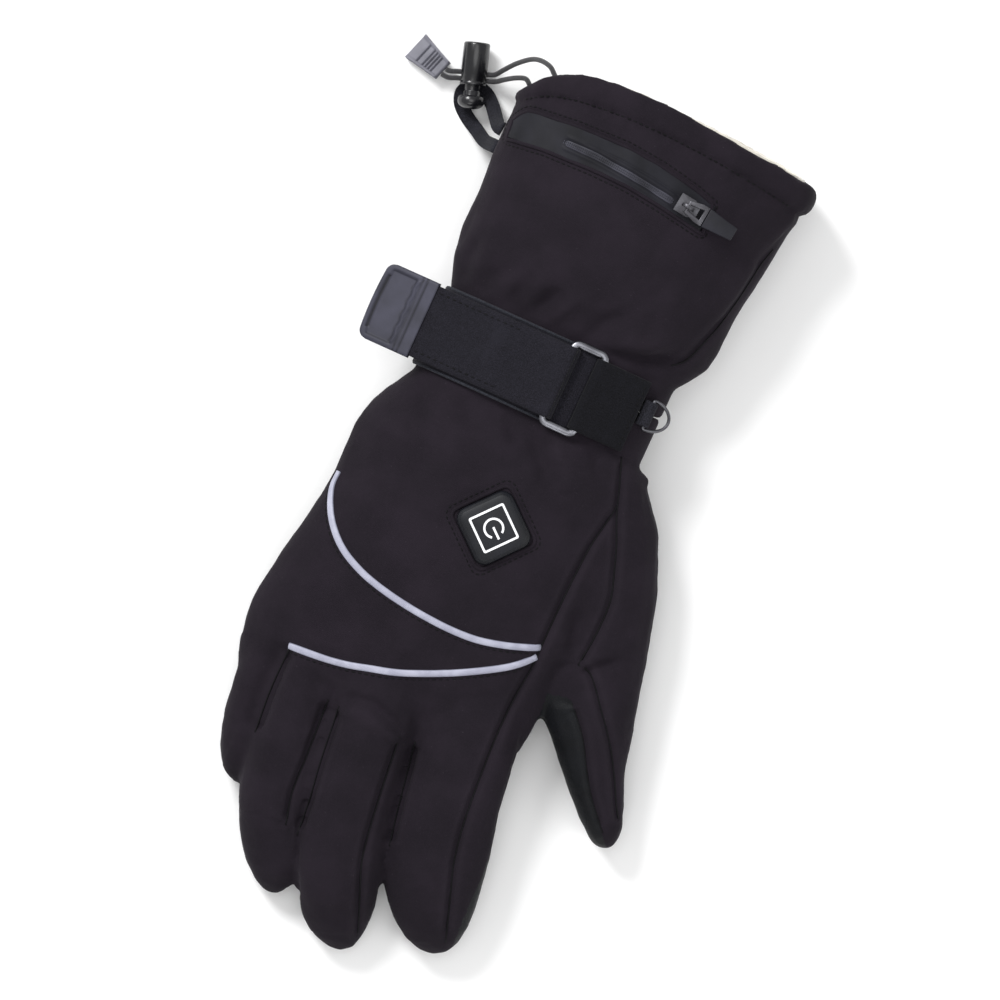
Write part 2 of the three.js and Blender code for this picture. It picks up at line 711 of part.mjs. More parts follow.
// Silicone key of the heating switch, seated on the back of the hand
const switchFrame = skinFrame(switchPlace, switchTurn, switchTop / 2);
const keyBody = new THREE.ExtrudeGeometry(roundedBox(switchTop, switchTop, switchCorner), {
  depth: switchRise + switchSink - switchFlank,
  bevelThickness: switchFlank,
  bevelSize: switchFlank,
  bevelSegments: 3,
  curveSegments: 2,
});
keyBody.translate(0, 0, -switchSink);
const key = solidOf(keyBody.applyMatrix4(switchFrame)).subtract(gloveForm(seamGap, sleeveSides, fingerSides));
addPiece(glove, "switch_key", key, silicone);

const markGroup = groupAt(glove, switchFrame);
function addMark(name, shape) {
  const geometry = new THREE.ExtrudeGeometry(shape, { depth: markThickness, bevelEnabled: false, curveSegments: 14 });
  addPiece(markGroup, name, geometry, whitePrint).position.z = switchRise + markClear;
}
const markClear = 0.02;
const markSquare = roundedBox(markSize, markSize, markLine);
const markHole = markSize - 2 * markLine;
markSquare.holes.push(new THREE.Path(roundedBox(markHole, markHole, markLine / 2).getPoints(2)));
addMark("switch_mark_square", markSquare);

// Standby sign: an open ring with a bar in its gap, which faces the far corner of the key
const openHalf = 0.62;
const signTurn = -Math.PI / 2;
const ringMark = new THREE.Shape();
ringMark.absarc(0, 0, markRadius, signTurn + openHalf, signTurn + 2 * Math.PI - openHalf);
ringMark.absarc(0, 0, markRadius - markLine, signTurn + 2 * Math.PI - openHalf, signTurn + openHalf, true);
addMark("switch_mark_ring", ringMark);
const barMark = new THREE.Shape([
  new THREE.Vector2(-markLine / 2, -1.16 * markRadius),
  new THREE.Vector2(markLine / 2, -1.16 * markRadius),
  new THREE.Vector2(markLine / 2, 0.1 * markRadius),
  new THREE.Vector2(-markLine / 2, 0.1 * markRadius),
]);
addMark("switch_mark_bar", barMark);

// Wrist strap, drawn in its own frame: X along the strap, Z up
const strapGroup = new THREE.Group();
strapGroup.rotation.z = strapLean;
glove.add(strapGroup);

// Point on the wrist's section, moved out by offset. Angle in degrees from the thumb side.
function wristPoint(angle, offset) {
  const c = Math.cos(THREE.MathUtils.degToRad(angle));
  const s = Math.sin(THREE.MathUtils.degToRad(angle));
  return new THREE.Vector2(
    wristShift + (wristWidth / 2 + offset) * Math.sign(c) * Math.abs(c) ** (2 / sectionPower),
    wristLift + wristHeight / 2 + (wristHeight / 2 + offset) * Math.abs(s) ** (2 / sectionPower),
  );
}

function wristTop(x, offset) {
  const share = Math.abs(x - wristShift) / (wristWidth / 2 + offset);
  return wristLift + wristHeight / 2 + (wristHeight / 2 + offset) * (1 - share ** sectionPower) ** (1 / sectionPower);
}

// Strip of cloth: its side view follows a line in X and Z, and it is width wide across the strap.
function strip(line, thickness, width) {
  const shape = new THREE.Shape(bandPoints(line, thickness));
  const geometry = new THREE.ExtrudeGeometry(shape, { depth: width, bevelEnabled: false });
  return geometry.translate(0, 0, -width / 2).rotateX(Math.PI / 2);
}

function turnAround(centre, radius, from, to, steps) {
  return Array.from({ length: steps + 1 }, (_, i) => {
    const angle = THREE.MathUtils.degToRad(from + ((to - from) * i) / steps);
    return new THREE.Vector2(centre.x + radius * Math.cos(angle), centre.y + radius * Math.sin(angle));
  });
}

const strapLow = seamGap + strapThickness / 2;
const strapHigh = strapLow + strapThickness + seamGap;
const foldRadius = buckleWire + seamGap + strapThickness / 2;
const nearBar = buckleMiddle - buckleLength / 2 + buckleWire;
const farBar = buckleMiddle + buckleLength / 2 - buckleWire;
const buckleHeight = strapLow + foldRadius;
const nearBarCentre = new THREE.Vector2(nearBar, wristTop(nearBar, 0) + buckleHeight);
const farBarCentre = new THREE.Vector2(farBar, wristTop(farBar, 0) + buckleHeight);

const lowerRun = [180, 170, 160, 150, 140, 130, 120, 110, 100].map((angle) => wristPoint(angle, strapLow));
const fold = turnAround(nearBarCentre, foldRadius, -90, 90, 8);
const upperRun = [102, 110, 118, 124].map((angle) => wristPoint(angle, strapHigh));
const freeWay = upperRun.at(-1).clone().sub(upperRun.at(-2)).normalize();
const strapEnd = upperRun.at(-1).clone().addScaledVector(freeWay, strapFree);
const strapLine = [...lowerRun, ...fold, ...upperRun, strapEnd];
const sewnLayer = solidOf(strip(lowerRun.slice(0, -1), strapThickness, sewnWidth));
const foldedStrap = solidOf(strip(strapLine, strapThickness, strapWidth));
addPiece(strapGroup, "wrist_strap", foldedStrap.add(sewnLayer), webbing);

// Anchor: a doubled strap sewn down at the thumb side, folded round the buckle's other bar
const anchorRadius = buckleWire + seamGap + anchorThickness / 2;
const anchorLow = seamGap + anchorThickness / 2;
const anchorHigh = anchorLow + anchorThickness + seamGap;
const anchorBar = farBarCentre.clone();
const anchorFold = turnAround(anchorBar, anchorRadius, 270, 90, 8);
const anchorPlaces = [0.45, 0.75, 1].map((share) => farBar + (anchorEnd - farBar) * share);
const anchorUnder = anchorPlaces.toReversed().map((x) => new THREE.Vector2(x, wristTop(x, anchorLow)));
const anchorOver = anchorPlaces.map((x) => new THREE.Vector2(x, wristTop(x, anchorHigh)));
const anchorLine = [...anchorUnder, ...anchorFold, ...anchorOver];
addPiece(strapGroup, "strap_anchor", strip(anchorLine, anchorThickness, strapWidth), webbing);

// Closed wire ring along an outline
function wireRing(outline, radius, steps, sides) {
  const points = outline.getSpacedPoints(3 * steps).slice(0, -1).map((p) => new THREE.Vector3(p.x, p.y, 0));
  return new THREE.TubeGeometry(new THREE.CatmullRomCurve3(points, true), steps, radius, sides, true);
}

const buckleInner = strapWidth + 1.4;
const buckleShape = roundedBox(farBar - nearBar, buckleInner + 2 * buckleWire, 2.2);
const buckle = addPiece(strapGroup, "strap_buckle", wireRing(buckleShape, buckleWire, 56, 8), nickel);
buckle.position.set((nearBar + farBar) / 2, 0, (nearBarCentre.y + farBarCentre.y) / 2);
buckle.rotation.y = Math.atan2(nearBarCentre.y - farBarCentre.y, farBar - nearBar);

// Moulded tab on the strap's free end, with a slot that holds the strap
const tabSlot = 5;
const tabShape = new THREE.Shape();
const tabHalf = tabWidth / 2;
const tabRound = 4;
tabShape.moveTo(-tabSlot, -tabHalf);
tabShape.lineTo(tabLength - tabSlot - tabRound, 0.6 - tabHalf);
tabShape.quadraticCurveTo(tabLength - tabSlot - 0.6, 0.6 - tabHalf, tabLength - tabSlot, tabRound - tabHalf);
tabShape.quadraticCurveTo(tabLength - tabSlot + 2, 0, tabLength - tabSlot, tabHalf - tabRound);
tabShape.quadraticCurveTo(tabLength - tabSlot - 0.6, tabHalf - 0.6, tabLength - tabSlot - tabRound, tabHalf - 0.6);
tabShape.lineTo(-tabSlot, tabHalf);
const tabBevel = 0.5;
const tabBody = new THREE.ExtrudeGeometry(tabShape, {
  depth: tabThickness - 2 * tabBevel,
  bevelThickness: tabBevel,
  bevelSize: tabBevel,
  bevelOffset: -tabBevel,
  bevelSegments: 1,
  curveSegments: 5,
});
tabBody.translate(0, 0, tabBevel - tabThickness / 2);
const slotSize = new THREE.Vector3(tabSlot + seamGap, strapWidth + 2 * seamGap, strapThickness + 2 * seamGap);
const slot = new THREE.BoxGeometry(2 * slotSize.x, slotSize.y, slotSize.z).translate(-tabSlot, 0, 0);
const recess = prism(
  [
    new THREE.Vector2(tabSlot - 1, 4 - tabHalf),
    new THREE.Vector2(tabLength - tabSlot - 3, 5 - tabHalf),
    new THREE.Vector2(tabLength - tabSlot - 1.4, 0),
    new THREE.Vector2(tabLength - tabSlot - 3, tabHalf - 5),
    new THREE.Vector2(tabSlot - 1, tabHalf - 4),
  ],
  -tabThickness,
  0.8 - tabThickness / 2,
);
const tabSolid = solidOf(tabBody).subtract(solidOf(slot)).subtract(recess);
const tabGroup = new THREE.Group();
tabGroup.position.set(strapEnd.x, 0, strapEnd.y);
tabGroup.rotation.set(0, Math.PI + Math.atan2(freeWay.y, -freeWay.x), 0);
strapGroup.add(tabGroup);
addPiece(tabGroup, "strap_tab", tabSolid, rubber);

// Small ring in a tape loop beside the anchor, for a clip
const loopFoldRadius = smallRingWire + seamGap + loopThickness / 2;
const loopLow = seamGap + loopThickness / 2;
const loopHigh = loopLow + loopThickness + seamGap;
const loopStart = anchorEnd + 3 * seamGap;
const loopPlaces = [0, 0.3].map((share) => loopStart + (loopEnd - loopStart) * share);
const loopBarPlace = loopEnd - loopFoldRadius - loopThickness / 2;
const loopBar = new THREE.Vector2(loopBarPlace, wristTop(loopBarPlace, loopLow + loopFoldRadius));
const loopUnder = loopPlaces.map((x) => new THREE.Vector2(x, wristTop(x, loopLow)));
const loopOver = loopPlaces.toReversed().map((x) => new THREE.Vector2(x, wristTop(x, loopHigh)));
const loopFold = turnAround(loopBar, loopFoldRadius, -118, 96, 9);
const loopStrip = strip([...loopUnder, ...loopFold, ...loopOver], loopThickness, loopWidth);
addPiece(strapGroup, "ring_loop", loopStrip.translate(0, loopShift, 0), webbing);

const barHalf = loopWidth / 2 + smallRingWire + seamGap;
const ringShape = new THREE.Shape();
ringShape.absellipse(smallRingWire, 0, smallRingReach, barHalf, -Math.PI / 2, Math.PI / 2);
ringShape.lineTo(0, barHalf - smallRingWire / 2);
ringShape.lineTo(0, smallRingWire / 2 - barHalf);
ringShape.closePath();
const smallRing = addPiece(strapGroup, "small_ring", wireRing(ringShape, smallRingWire, 40, 6), nickel);
smallRing.position.set(loopBar.x, loopShift, loopBar.y);
smallRing.rotation.y = smallRingTilt;

// Zip slider on the coil, and the pull that swings on it
const sliderFrame = skinFrame(sliderAlong, zipLean, sliderLength / 2);
const sliderBase = coilBase + coilThickness + seamGap;
const sliderGroup = groupAt(glove, sliderFrame);
const bailRadius = 2;
const bailWire = 0.65;
const sliderBody = prism(
  [
    new THREE.Vector2(-sliderLength / 2, -sliderWidth / 2),
    new THREE.Vector2(sliderLength / 6, -sliderWidth / 2),
    new THREE.Vector2(sliderLength / 2, -sliderWidth / 4),
    new THREE.Vector2(sliderLength / 2, sliderWidth / 4),
    new THREE.Vector2(sliderLength / 6, sliderWidth / 2),
    new THREE.Vector2(-sliderLength / 2, sliderWidth / 2),
  ],
  sliderBase,
  sliderBase + sliderHeight / 2,
);
const bailFoot = sliderBase + sliderHeight / 2;
const bailShape = new THREE.Shape();
bailShape.absarc(0, 0, bailRadius + bailWire, -0.3, Math.PI + 0.3);
bailShape.absarc(0, 0, bailRadius - bailWire, Math.PI + 0.3, -0.3, true);
const bail = new THREE.ExtrudeGeometry(bailShape, { depth: 2 * bailWire, bevelEnabled: false, curveSegments: 8 });
bail.translate(0, 0, -bailWire).rotateX(Math.PI / 2).translate(0, 0, bailFoot + 0.3);
addPiece(sliderGroup, "zip_slider", sliderBody.add(solidOf(bail)), nickel);

// The pull's eye goes round the bail: its origin is the hinge, and its Y is the axis.
const pullGroup = new THREE.Group();
pullGroup.name = "pull_hinge";
pullGroup.position.set(0, 0, bailFoot + 0.4 * bailRadius);
sliderGroup.add(pullGroup);
const eyeHalf = bailWire + 0.5;
const barHalfWidth = 0.5;
const framePlate = new THREE.Shape([
  new THREE.Vector2(-barHalfWidth, -pullWidth / 3),
  new THREE.Vector2(pullFrame - 3, -pullWidth / 2),
  new THREE.Vector2(pullFrame, -pullWidth / 2),
  new THREE.Vector2(pullFrame, pullWidth / 2),
  new THREE.Vector2(pullFrame - 3, pullWidth / 2),
  new THREE.Vector2(-barHalfWidth, pullWidth / 3),
]);
framePlate.holes.push(
  new THREE.Path([
    new THREE.Vector2(barHalfWidth, -eyeHalf),
    new THREE.Vector2(barHalfWidth, eyeHalf),
    new THREE.Vector2(pullFrame - 1.6, eyeHalf + 1),
    new THREE.Vector2(pullFrame - 1.6, -eyeHalf - 1),
  ]),
);
const plate = new THREE.ExtrudeGeometry(framePlate, { depth: pullThickness, bevelEnabled: false });
addPiece(pullGroup, "pull_frame", plate.translate(0, 0, -pullThickness / 2), nickel);
const tongue = new THREE.Shape([
  new THREE.Vector2(pullFrame + seamGap, -pullWidth / 2),
  new THREE.Vector2(pullFrame + pullTab, -pullWidth / 3),
  new THREE.Vector2(pullFrame + pullTab, pullWidth / 3),
  new THREE.Vector2(pullFrame + seamGap, pullWidth / 2),
]);
const tongueBody = new THREE.ExtrudeGeometry(tongue, { depth: pullThickness, bevelEnabled: false });
addPiece(pullGroup, "pull_tab", tongueBody.translate(0, 0, -pullThickness / 2), rubber);

// Cord lock, lying on the surface: its local Y is the barrel's axis, towards the closed end
const lockGroup = new THREE.Group();
lockGroup.position.set(lockPlace.x, lockPlace.y, lockRadius + tapeThickness + 2 * seamGap);
lockGroup.rotation.z = lockLean;
cordParts.add(lockGroup);

const openEnd = -lockLength / 2;
const boreEnd = openEnd + lockBoreDepth;
const holeMiddle = openEnd + cordHoleFromEnd;
const holeHalf = 2 * cordRadius + 0.8;
const holeHeight = cordRadius + 0.6;
const turning = 20;
const barrelProfile = [
  [0, boreEnd],
  [lockBore, boreEnd],
  [lockBore, openEnd],
  [lockRadius - 0.4, openEnd],
  [lockRadius, openEnd + 0.4],
  [lockRadius, -openEnd - 0.6],
  [lockRadius - 0.6, -openEnd],
  [0, -openEnd],
].map(([x, y]) => new THREE.Vector2(x, y));
const barrel = solidOf(new THREE.LatheGeometry(barrelProfile, turning));
const crossHole = (half, height, shift) =>
  slab(
    new THREE.Vector3(-skyward, holeMiddle + shift - half, -height),
    new THREE.Vector3(skyward, holeMiddle + shift + half, height),
  );
addPiece(lockGroup, "lock_barrel", barrel.subtract(crossHole(holeHalf, holeHeight, 0)), glossPlastic);

// Plunger: pressed in against its spring, it lets the cords run. Its slot is longer by the travel.
const headTop = openEnd - plungerNeck;
const headEnd = headTop - plungerHead.length;
const stemEnd = boreEnd - plungerTravel - 2 * seamGap;
const plungerProfile = [
  [0, headEnd],
  [plungerHead.radius * 0.55, headEnd],
  [plungerHead.radius * 0.9, headEnd + plungerHead.length * 0.25],
  [plungerHead.radius, headEnd + plungerHead.length * 0.6],
  [plungerHead.radius * 0.92, headTop],
  [plungerRadius, headTop],
  [plungerRadius, stemEnd],
  [0, stemEnd],
].map(([x, y]) => new THREE.Vector2(x, y));
const plungerBody = solidOf(new THREE.LatheGeometry(plungerProfile, turning));
const slotHalf = holeHalf + plungerTravel / 2;
const plungerSlot = crossHole(slotHalf, holeHeight, -plungerTravel / 2);
const plungerGroup = new THREE.Group();
plungerGroup.name = "plunger_slide";
lockGroup.add(plungerGroup);
addPiece(plungerGroup, "lock_plunger", plungerBody.subtract(plungerSlot), glossPlastic);

// Round cord along a route
function cordAlong(route, sides, steps) {
  const curve = new THREE.CatmullRomCurve3(route.map((p) => new THREE.Vector3(...p)), false, "centripetal");
  const round = new THREE.Shape(
    Array.from({ length: sides }, (_, i) => {
      const angle = (2 * Math.PI * i) / sides;
      return new THREE.Vector2(cordRadius * Math.cos(angle), cordRadius * Math.sin(angle));
    }),
  );
  return new THREE.ExtrudeGeometry(round, { steps, extrudePath: curve, bevelEnabled: false });
}
addPiece(cordParts, "drawcord_upper", cordAlong(upperCordRoute, 8, 22), elastic);
addPiece(cordParts, "drawcord_lower", cordAlong(lowerCordRoute, 8, 20), elastic);

// Flat tape that tethers the lock: it stands on edge where it leaves the cuff and lies flat under the barrel.
const tapeCurve = new THREE.CatmullRomCurve3(tapeRoute.map((p) => new THREE.Vector3(...p)), false, "centripetal");
const tapeSteps = 30;
const tapeRings = Array.from({ length: tapeSteps + 1 }, (_, i) => {
  const share = i / tapeSteps;
  const middle = tapeCurve.getPointAt(share);
  const tangent = tapeCurve.getTangentAt(share);
  const across = new THREE.Vector3().crossVectors(new THREE.Vector3(0, 0, 1), tangent).normalize();
  const up = new THREE.Vector3().crossVectors(tangent, across).normalize();
  const corners = [[-1, -1], [1, -1], [1, 1], [-1, 1]];
  return corners.map(([a, b]) =>
    middle.clone().addScaledVector(across, (a * tapeWidth) / 2).addScaledVector(up, (b * tapeThickness) / 2),
  );
});
addPiece(cordParts, "lock_tape", loft(tapeRings), elastic);

// Ribbed cord end that both cord ends run into
const endGroup = new THREE.Group();
endGroup.position.set(-83.3, 99.9, 5.9);
endGroup.rotation.set(0, 0.22, Math.PI - 0.4, "ZYX");
cordParts.add(endGroup);
const endOutline = new THREE.Shape([
  new THREE.Vector2(0, -cordEnd.narrow / 2),
  new THREE.Vector2(cordEnd.length, -cordEnd.wide / 2),
  new THREE.Vector2(cordEnd.length + 0.8, 0),
  new THREE.Vector2(cordEnd.length, cordEnd.wide / 2),
  new THREE.Vector2(0, cordEnd.narrow / 2),
]);
const endBody = new THREE.ExtrudeGeometry(endOutline, { depth: cordEnd.thickness, bevelEnabled: false });
addPiece(endGroup, "cord_end", endBody.translate(0, 0, -cordEnd.thickness / 2), rubber);

// The origin is the bottom middle of the glove without its cords.
glove.updateMatrixWorld(true);
const reachBox = new THREE.Box3();
glove.children.filter((child) => child !== cordParts).forEach((child) => reachBox.expandByObject(child, true));
const middle = reachBox.getCenter(new THREE.Vector3());
glove.position.set(-middle.x, -middle.y, -reachBox.min.z);
glove.updateMatrixWorld(true);

export default glove;
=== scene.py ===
import math
import bmesh
import bpy
import numpy as np
from mathutils import Matrix, Vector, noise
from mathutils.bvhtree import BVHTree


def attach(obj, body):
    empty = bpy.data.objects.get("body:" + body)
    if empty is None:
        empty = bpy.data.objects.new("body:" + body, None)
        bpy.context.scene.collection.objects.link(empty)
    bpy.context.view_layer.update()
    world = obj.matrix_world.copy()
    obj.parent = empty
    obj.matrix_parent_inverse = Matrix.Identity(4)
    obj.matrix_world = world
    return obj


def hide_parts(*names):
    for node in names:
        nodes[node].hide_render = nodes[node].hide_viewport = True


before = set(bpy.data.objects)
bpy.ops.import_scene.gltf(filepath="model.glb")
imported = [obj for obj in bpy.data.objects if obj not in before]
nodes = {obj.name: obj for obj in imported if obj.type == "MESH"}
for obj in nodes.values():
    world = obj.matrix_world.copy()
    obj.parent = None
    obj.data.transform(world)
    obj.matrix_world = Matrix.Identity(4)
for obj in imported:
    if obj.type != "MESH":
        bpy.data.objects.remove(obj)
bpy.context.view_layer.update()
print("frame loaded:", len(nodes), "nodes")

# Tables below are in millimetres. Those measured on the back of the glove use the drawing's own origin,
# 41 mm from the wrist strap towards the fingers. Those shared with the solids use the middle of the strap.
drawingShift = Vector((-0.862, 19.72, 0))
wristShift = Vector((-0.862, 60.717, 0))


def drawn(x, y, z=0.0):
    return (Vector((x, y, z)) + drawingShift) / 1000


def fromWrist(x, y, z=0.0):
    return (Vector((x, y, z)) + wristShift) / 1000


# Camera straight above the glove, turned as in the photo
cameraPlan = {"over": (-5.52, 9.73), "height": 3.5, "across": 0.390, "level": 0.035, "turn": 20}
cameraData = bpy.data.cameras.new("camera")
cameraData.lens = 36 * (cameraPlan["height"] - cameraPlan["level"]) / cameraPlan["across"]
cameraData.clip_start, cameraData.clip_end = 0.1, 50
camera = bpy.data.objects.new("camera", cameraData)
bpy.context.scene.collection.objects.link(camera)
camera.location = (cameraPlan["over"][0] / 1000, cameraPlan["over"][1] / 1000, cameraPlan["height"])
camera.rotation_euler = (0, 0, math.radians(cameraPlan["turn"]))
bpy.context.scene.camera = camera
print("camera placed")


# A socket that can be used in sums
class Wire:
    def __init__(self, finish, socket):
        self.finish, self.socket = finish, socket

    def sum(self, kind, *others):
        return self.finish.node("ShaderNodeMath", {"operation": kind}, [self, *others])

    def __add__(self, other):
        return self.sum("ADD", other)

    def __mul__(self, other):
        return self.sum("MULTIPLY", other)

    def __sub__(self, other):
        return self.sum("SUBTRACT", other)

    def __truediv__(self, other):
        return self.sum("DIVIDE", other)

    def __rsub__(self, other):
        return self.finish.node("ShaderNodeMath", {"operation": "SUBTRACT"}, [other, self])

    def __rtruediv__(self, other):
        return self.finish.node("ShaderNodeMath", {"operation": "DIVIDE"}, [other, self])

    def __pow__(self, other):
        return self.sum("POWER", other)

    __radd__ = __add__
    __rmul__ = __mul__

    def sine(self):
        return self.sum("SINE")

    def size(self):
        return self.sum("ABSOLUTE")

    def over(self, start, end):
        return self.finish.node(
            "ShaderNodeMapRange", {"interpolation_type": "SMOOTHSTEP"}, [self, start, end, 0.0, 1.0])


# A material with its node tree
class Finish:
    def __init__(self, name):
        self.material = bpy.data.materials.new(name)
        self.material.use_nodes = True
        self.tree = self.material.node_tree
        self.tree.nodes.clear()
        self.end = self.tree.nodes.new("ShaderNodeOutputMaterial")

    def node(self, kind, settings=None, values=(), out=0):
        made = self.tree.nodes.new(kind)
        for key, value in (settings or {}).items():
            if key == "stops":
                while len(made.color_ramp.elements) < len(value):
                    made.color_ramp.elements.new(1)
                for stop, (place, shade) in zip(made.color_ramp.elements, value):
                    stop.position, stop.color = place, (shade, shade, shade, 1)
            else:
                setattr(made, key, value)
        pairs = values.items() if isinstance(values, dict) else enumerate(values)
        for key, value in pairs:
            socket = made.inputs[key]
            if isinstance(value, Wire):
                self.tree.links.new(value.socket, socket)
            elif value is not None:
                socket.default_value = value
        return Wire(self, made.outputs[out])

    def place(self):
        return self.node("ShaderNodeTexCoord", out="Object")

    def turned(self, degrees=0, scale=(1, 1, 1), place=None):
        return self.node("ShaderNodeMapping", None, {
            "Vector": place or self.place(), "Rotation": (0, 0, math.radians(degrees)), "Scale": scale})

    def mark(self, name):
        return self.node("ShaderNodeAttribute", {"attribute_name": name}, out="Fac")

    def speckle(self, scale, detail=2.0, rough=0.5, place=None):
        return self.node("ShaderNodeTexNoise", {"noise_dimensions": "3D"}, {
            "Vector": place or self.place(), "Scale": scale, "Detail": detail, "Roughness": rough}, out="Fac")

    def cells(self, scale, feature="F1", place=None):
        return self.node("ShaderNodeTexVoronoi", {"feature": feature}, {
            "Vector": place or self.place(), "Scale": scale}, out="Distance")

    def blend(self, share, first, second):
        return self.node("ShaderNodeMix", {"data_type": "RGBA"}, {0: share, 6: shade(first), 7: shade(second)}, out=2)

    def bump(self, height, distance, strength=1.0, under=None):
        return self.node("ShaderNodeBump", None, {
            "Height": height, "Distance": distance, "Strength": strength, "Normal": under})

    def surface(self, colour, rough, normal=None, **fixed):
        values = {"Base Color": shade(colour), "Roughness": rough, "Normal": normal}
        for key, value in fixed.items():
            values[key.replace("_", " ")] = shade(value) if key.endswith("Tint") else value
        return self.node("ShaderNodeBsdfPrincipled", None, values)

    def done(self, shader):
        self.tree.links.new(shader.socket, self.end.inputs[0])
        return self.material


# Colours are given as they look on a screen, from 0 to 255
def shade(colour):
    if not isinstance(colour, tuple):
        return colour
    return tuple(((c / 255 + 0.055) / 1.055) ** 2.4 if c > 10 else c / 255 / 12.92 for c in colour[:3]) + (1.0,)


def newPiece(name, bm, material, body="glove", standsFor=(), smooth=True):
    mesh = bpy.data.meshes.new(name)
    bm.normal_update()
    bm.to_mesh(mesh)
    bm.free()
    mesh.polygons.foreach_set("use_smooth", [smooth] * len(mesh.polygons))
    mesh.materials.append(material)
    piece = bpy.data.objects.new(name, mesh)
    bpy.context.scene.collection.objects.link(piece)
    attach(piece, body)
    if standsFor:
        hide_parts(*standsFor)
    return piece


# Even points along a smooth curve through the given ones
def smoothPath(points, steps):
    rows = np.array([tuple(p) for p in points], float)
    rows = np.vstack([2 * rows[0] - rows[1], rows, 2 * rows[-1] - rows[-2]])
    fine = []
    for a, b, c, d in zip(rows, rows[1:], rows[2:], rows[3:]):
        t = np.linspace(0, 1, 24, endpoint=False)[:, None]
        fine.append(0.5 * (2 * b + (c - a) * t + (2 * a - 5 * b + 4 * c - d) * t**2 + (3 * b - a - 3 * c + d) * t**3))
    fine = np.vstack(fine + [rows[-2:-1]])
    reach = np.concatenate([[0], np.cumsum(np.linalg.norm(np.diff(fine, axis=0), axis=1))])
    even = np.linspace(0, reach[-1], steps + 1)
    return [Vector([np.interp(s, reach, fine[:, k]) for k in range(fine.shape[1])]) for s in even]


# Frames along a path: X across, Y up off what it lies on, Z along
def framesAlong(points, ups, closed=False):
    made = []
    count = len(points)
    for i, (point, up) in enumerate(zip(points, ups)):
        before = points[i - 1] if i or closed else points[0]
        after = points[(i + 1) % count] if i + 1 < count or closed else points[-1]
        forward = (after - before).normalized()
        across = up.cross(forward).normalized()
        rise = forward.cross(across).normalized()
        made.append(Matrix((
            (across.x, rise.x, forward.x, point.x),
            (across.y, rise.y, forward.y, point.y),
            (across.z, rise.z, forward.z, point.z),
            (0, 0, 0, 1))))
    return made


# Draws an outline along the frames, one extrusion a frame, and marks how far along and across each point lies
def sweep(bm, frames, outline, closed=False):
    alongMark = bm.verts.layers.float.get("along") or bm.verts.layers.float.new("along")
    acrossMark = bm.verts.layers.float.get("across") or bm.verts.layers.float.new("across")
    ring = []
    for a, b in outline:
        vert = bm.verts.new(frames[0] @ Vector((a, b, 0)))
        vert[acrossMark] = a
        ring.append(vert)
    start = bm.faces.new(ring[::-1])
    edges, before, reach = list(start.edges), frames[0], 0.0
    for following in frames[1:] + (frames[:1] if closed else []):
        made = bmesh.ops.extrude_edge_only(bm, edges=edges)["geom"]
        fresh = {g for g in made if isinstance(g, bmesh.types.BMVert)}
        edges = [g for g in made if isinstance(g, bmesh.types.BMEdge) and all(v in fresh for v in g.verts)]
        bmesh.ops.transform(bm, matrix=following @ before.inverted(), verts=list(fresh))
        reach += (following.translation - before.translation).length
        for vert in fresh:
            vert[alongMark] = reach
        before = following
    if closed:
        bmesh.ops.delete(bm, geom=[start], context="FACES_ONLY")
        bmesh.ops.remove_doubles(bm, verts=bm.verts, dist=1e-6)
    else:
        bmesh.ops.contextual_create(bm, geom=edges)
    bmesh.ops.recalc_face_normals(bm, faces=bm.faces)
    return bm


def roundOutline(radius, sides, squash=1.0):
    angles = [2 * math.pi * i / sides for i in range(sides)]
    return [(radius * math.cos(a), radius * squash * math.sin(a)) for a in angles]


# A flat band's outline: even points across, narrowed at both edges
def bandOutline(width, thickness, steps):
    half, edge = width / 2, thickness / 2
    shares = [-1 + 2 * i / steps for i in range(steps + 1)]
    above = [(s * (half - edge * 0.6), edge) for s in shares]
    below = [(s * (half - edge * 0.6), -edge) for s in shares[::-1]]
    side = [(half, 0.35 * edge), (half, -0.35 * edge)]
    return [(-half, 0.35 * edge), *above, *side, *below, (-half, -0.35 * edge)][::-1]


def copied(*names):
    bm = bmesh.new()
    for name in names:
        bm.from_mesh(nodes[name].data)
    bmesh.ops.remove_doubles(bm, verts=bm.verts, dist=2e-6)
    return bm


# A solid's copy with its flat faces joined and its edges rounded
def refined(name, width, segments=3, angle=30):
    bm = copied(name)
    bmesh.ops.dissolve_limit(bm, angle_limit=math.radians(1.5), verts=bm.verts, edges=bm.edges)
    limit = math.radians(angle)
    edges = [e for e in bm.edges if len(e.link_faces) == 2 and e.calc_face_angle(0) > limit]
    bmesh.ops.bevel(bm, geom=edges, offset=width, offset_type="OFFSET", affect="EDGES", segments=segments,
                    profile=0.5, material=-1, clamp_overlap=True)
    return bm


def finished(piece):
    view = bpy.context.evaluated_depsgraph_get()
    mesh = bpy.data.meshes.new_from_object(piece.evaluated_get(view), preserve_all_data_layers=True, depsgraph=view)
    piece.modifiers.clear()
    piece.data = mesh
    return piece


# One soft skin around the solids: remeshed evenly, then smoothed
def softCopy(name, names, voxel, passes):
    bm = copied(*names)
    mesh = bpy.data.meshes.new(name)
    bm.to_mesh(mesh)
    bm.free()
    piece = bpy.data.objects.new(name, mesh)
    bpy.context.scene.collection.objects.link(piece)
    remesh = piece.modifiers.new("even", "REMESH")
    remesh.mode, remesh.voxel_size, remesh.adaptivity = "VOXEL", voxel, 0
    smooth = piece.modifiers.new("smooth", "SMOOTH")
    smooth.factor, smooth.iterations = 0.5, passes
    finished(piece)
    mesh = piece.data
    bpy.data.objects.remove(piece)
    bm = bmesh.new()
    bm.from_mesh(mesh)
    bpy.data.meshes.remove(mesh)
    return bm


def arrayOf(bm):
    return np.array([v.co for v in bm.verts]), np.array([v.normal for v in bm.verts])


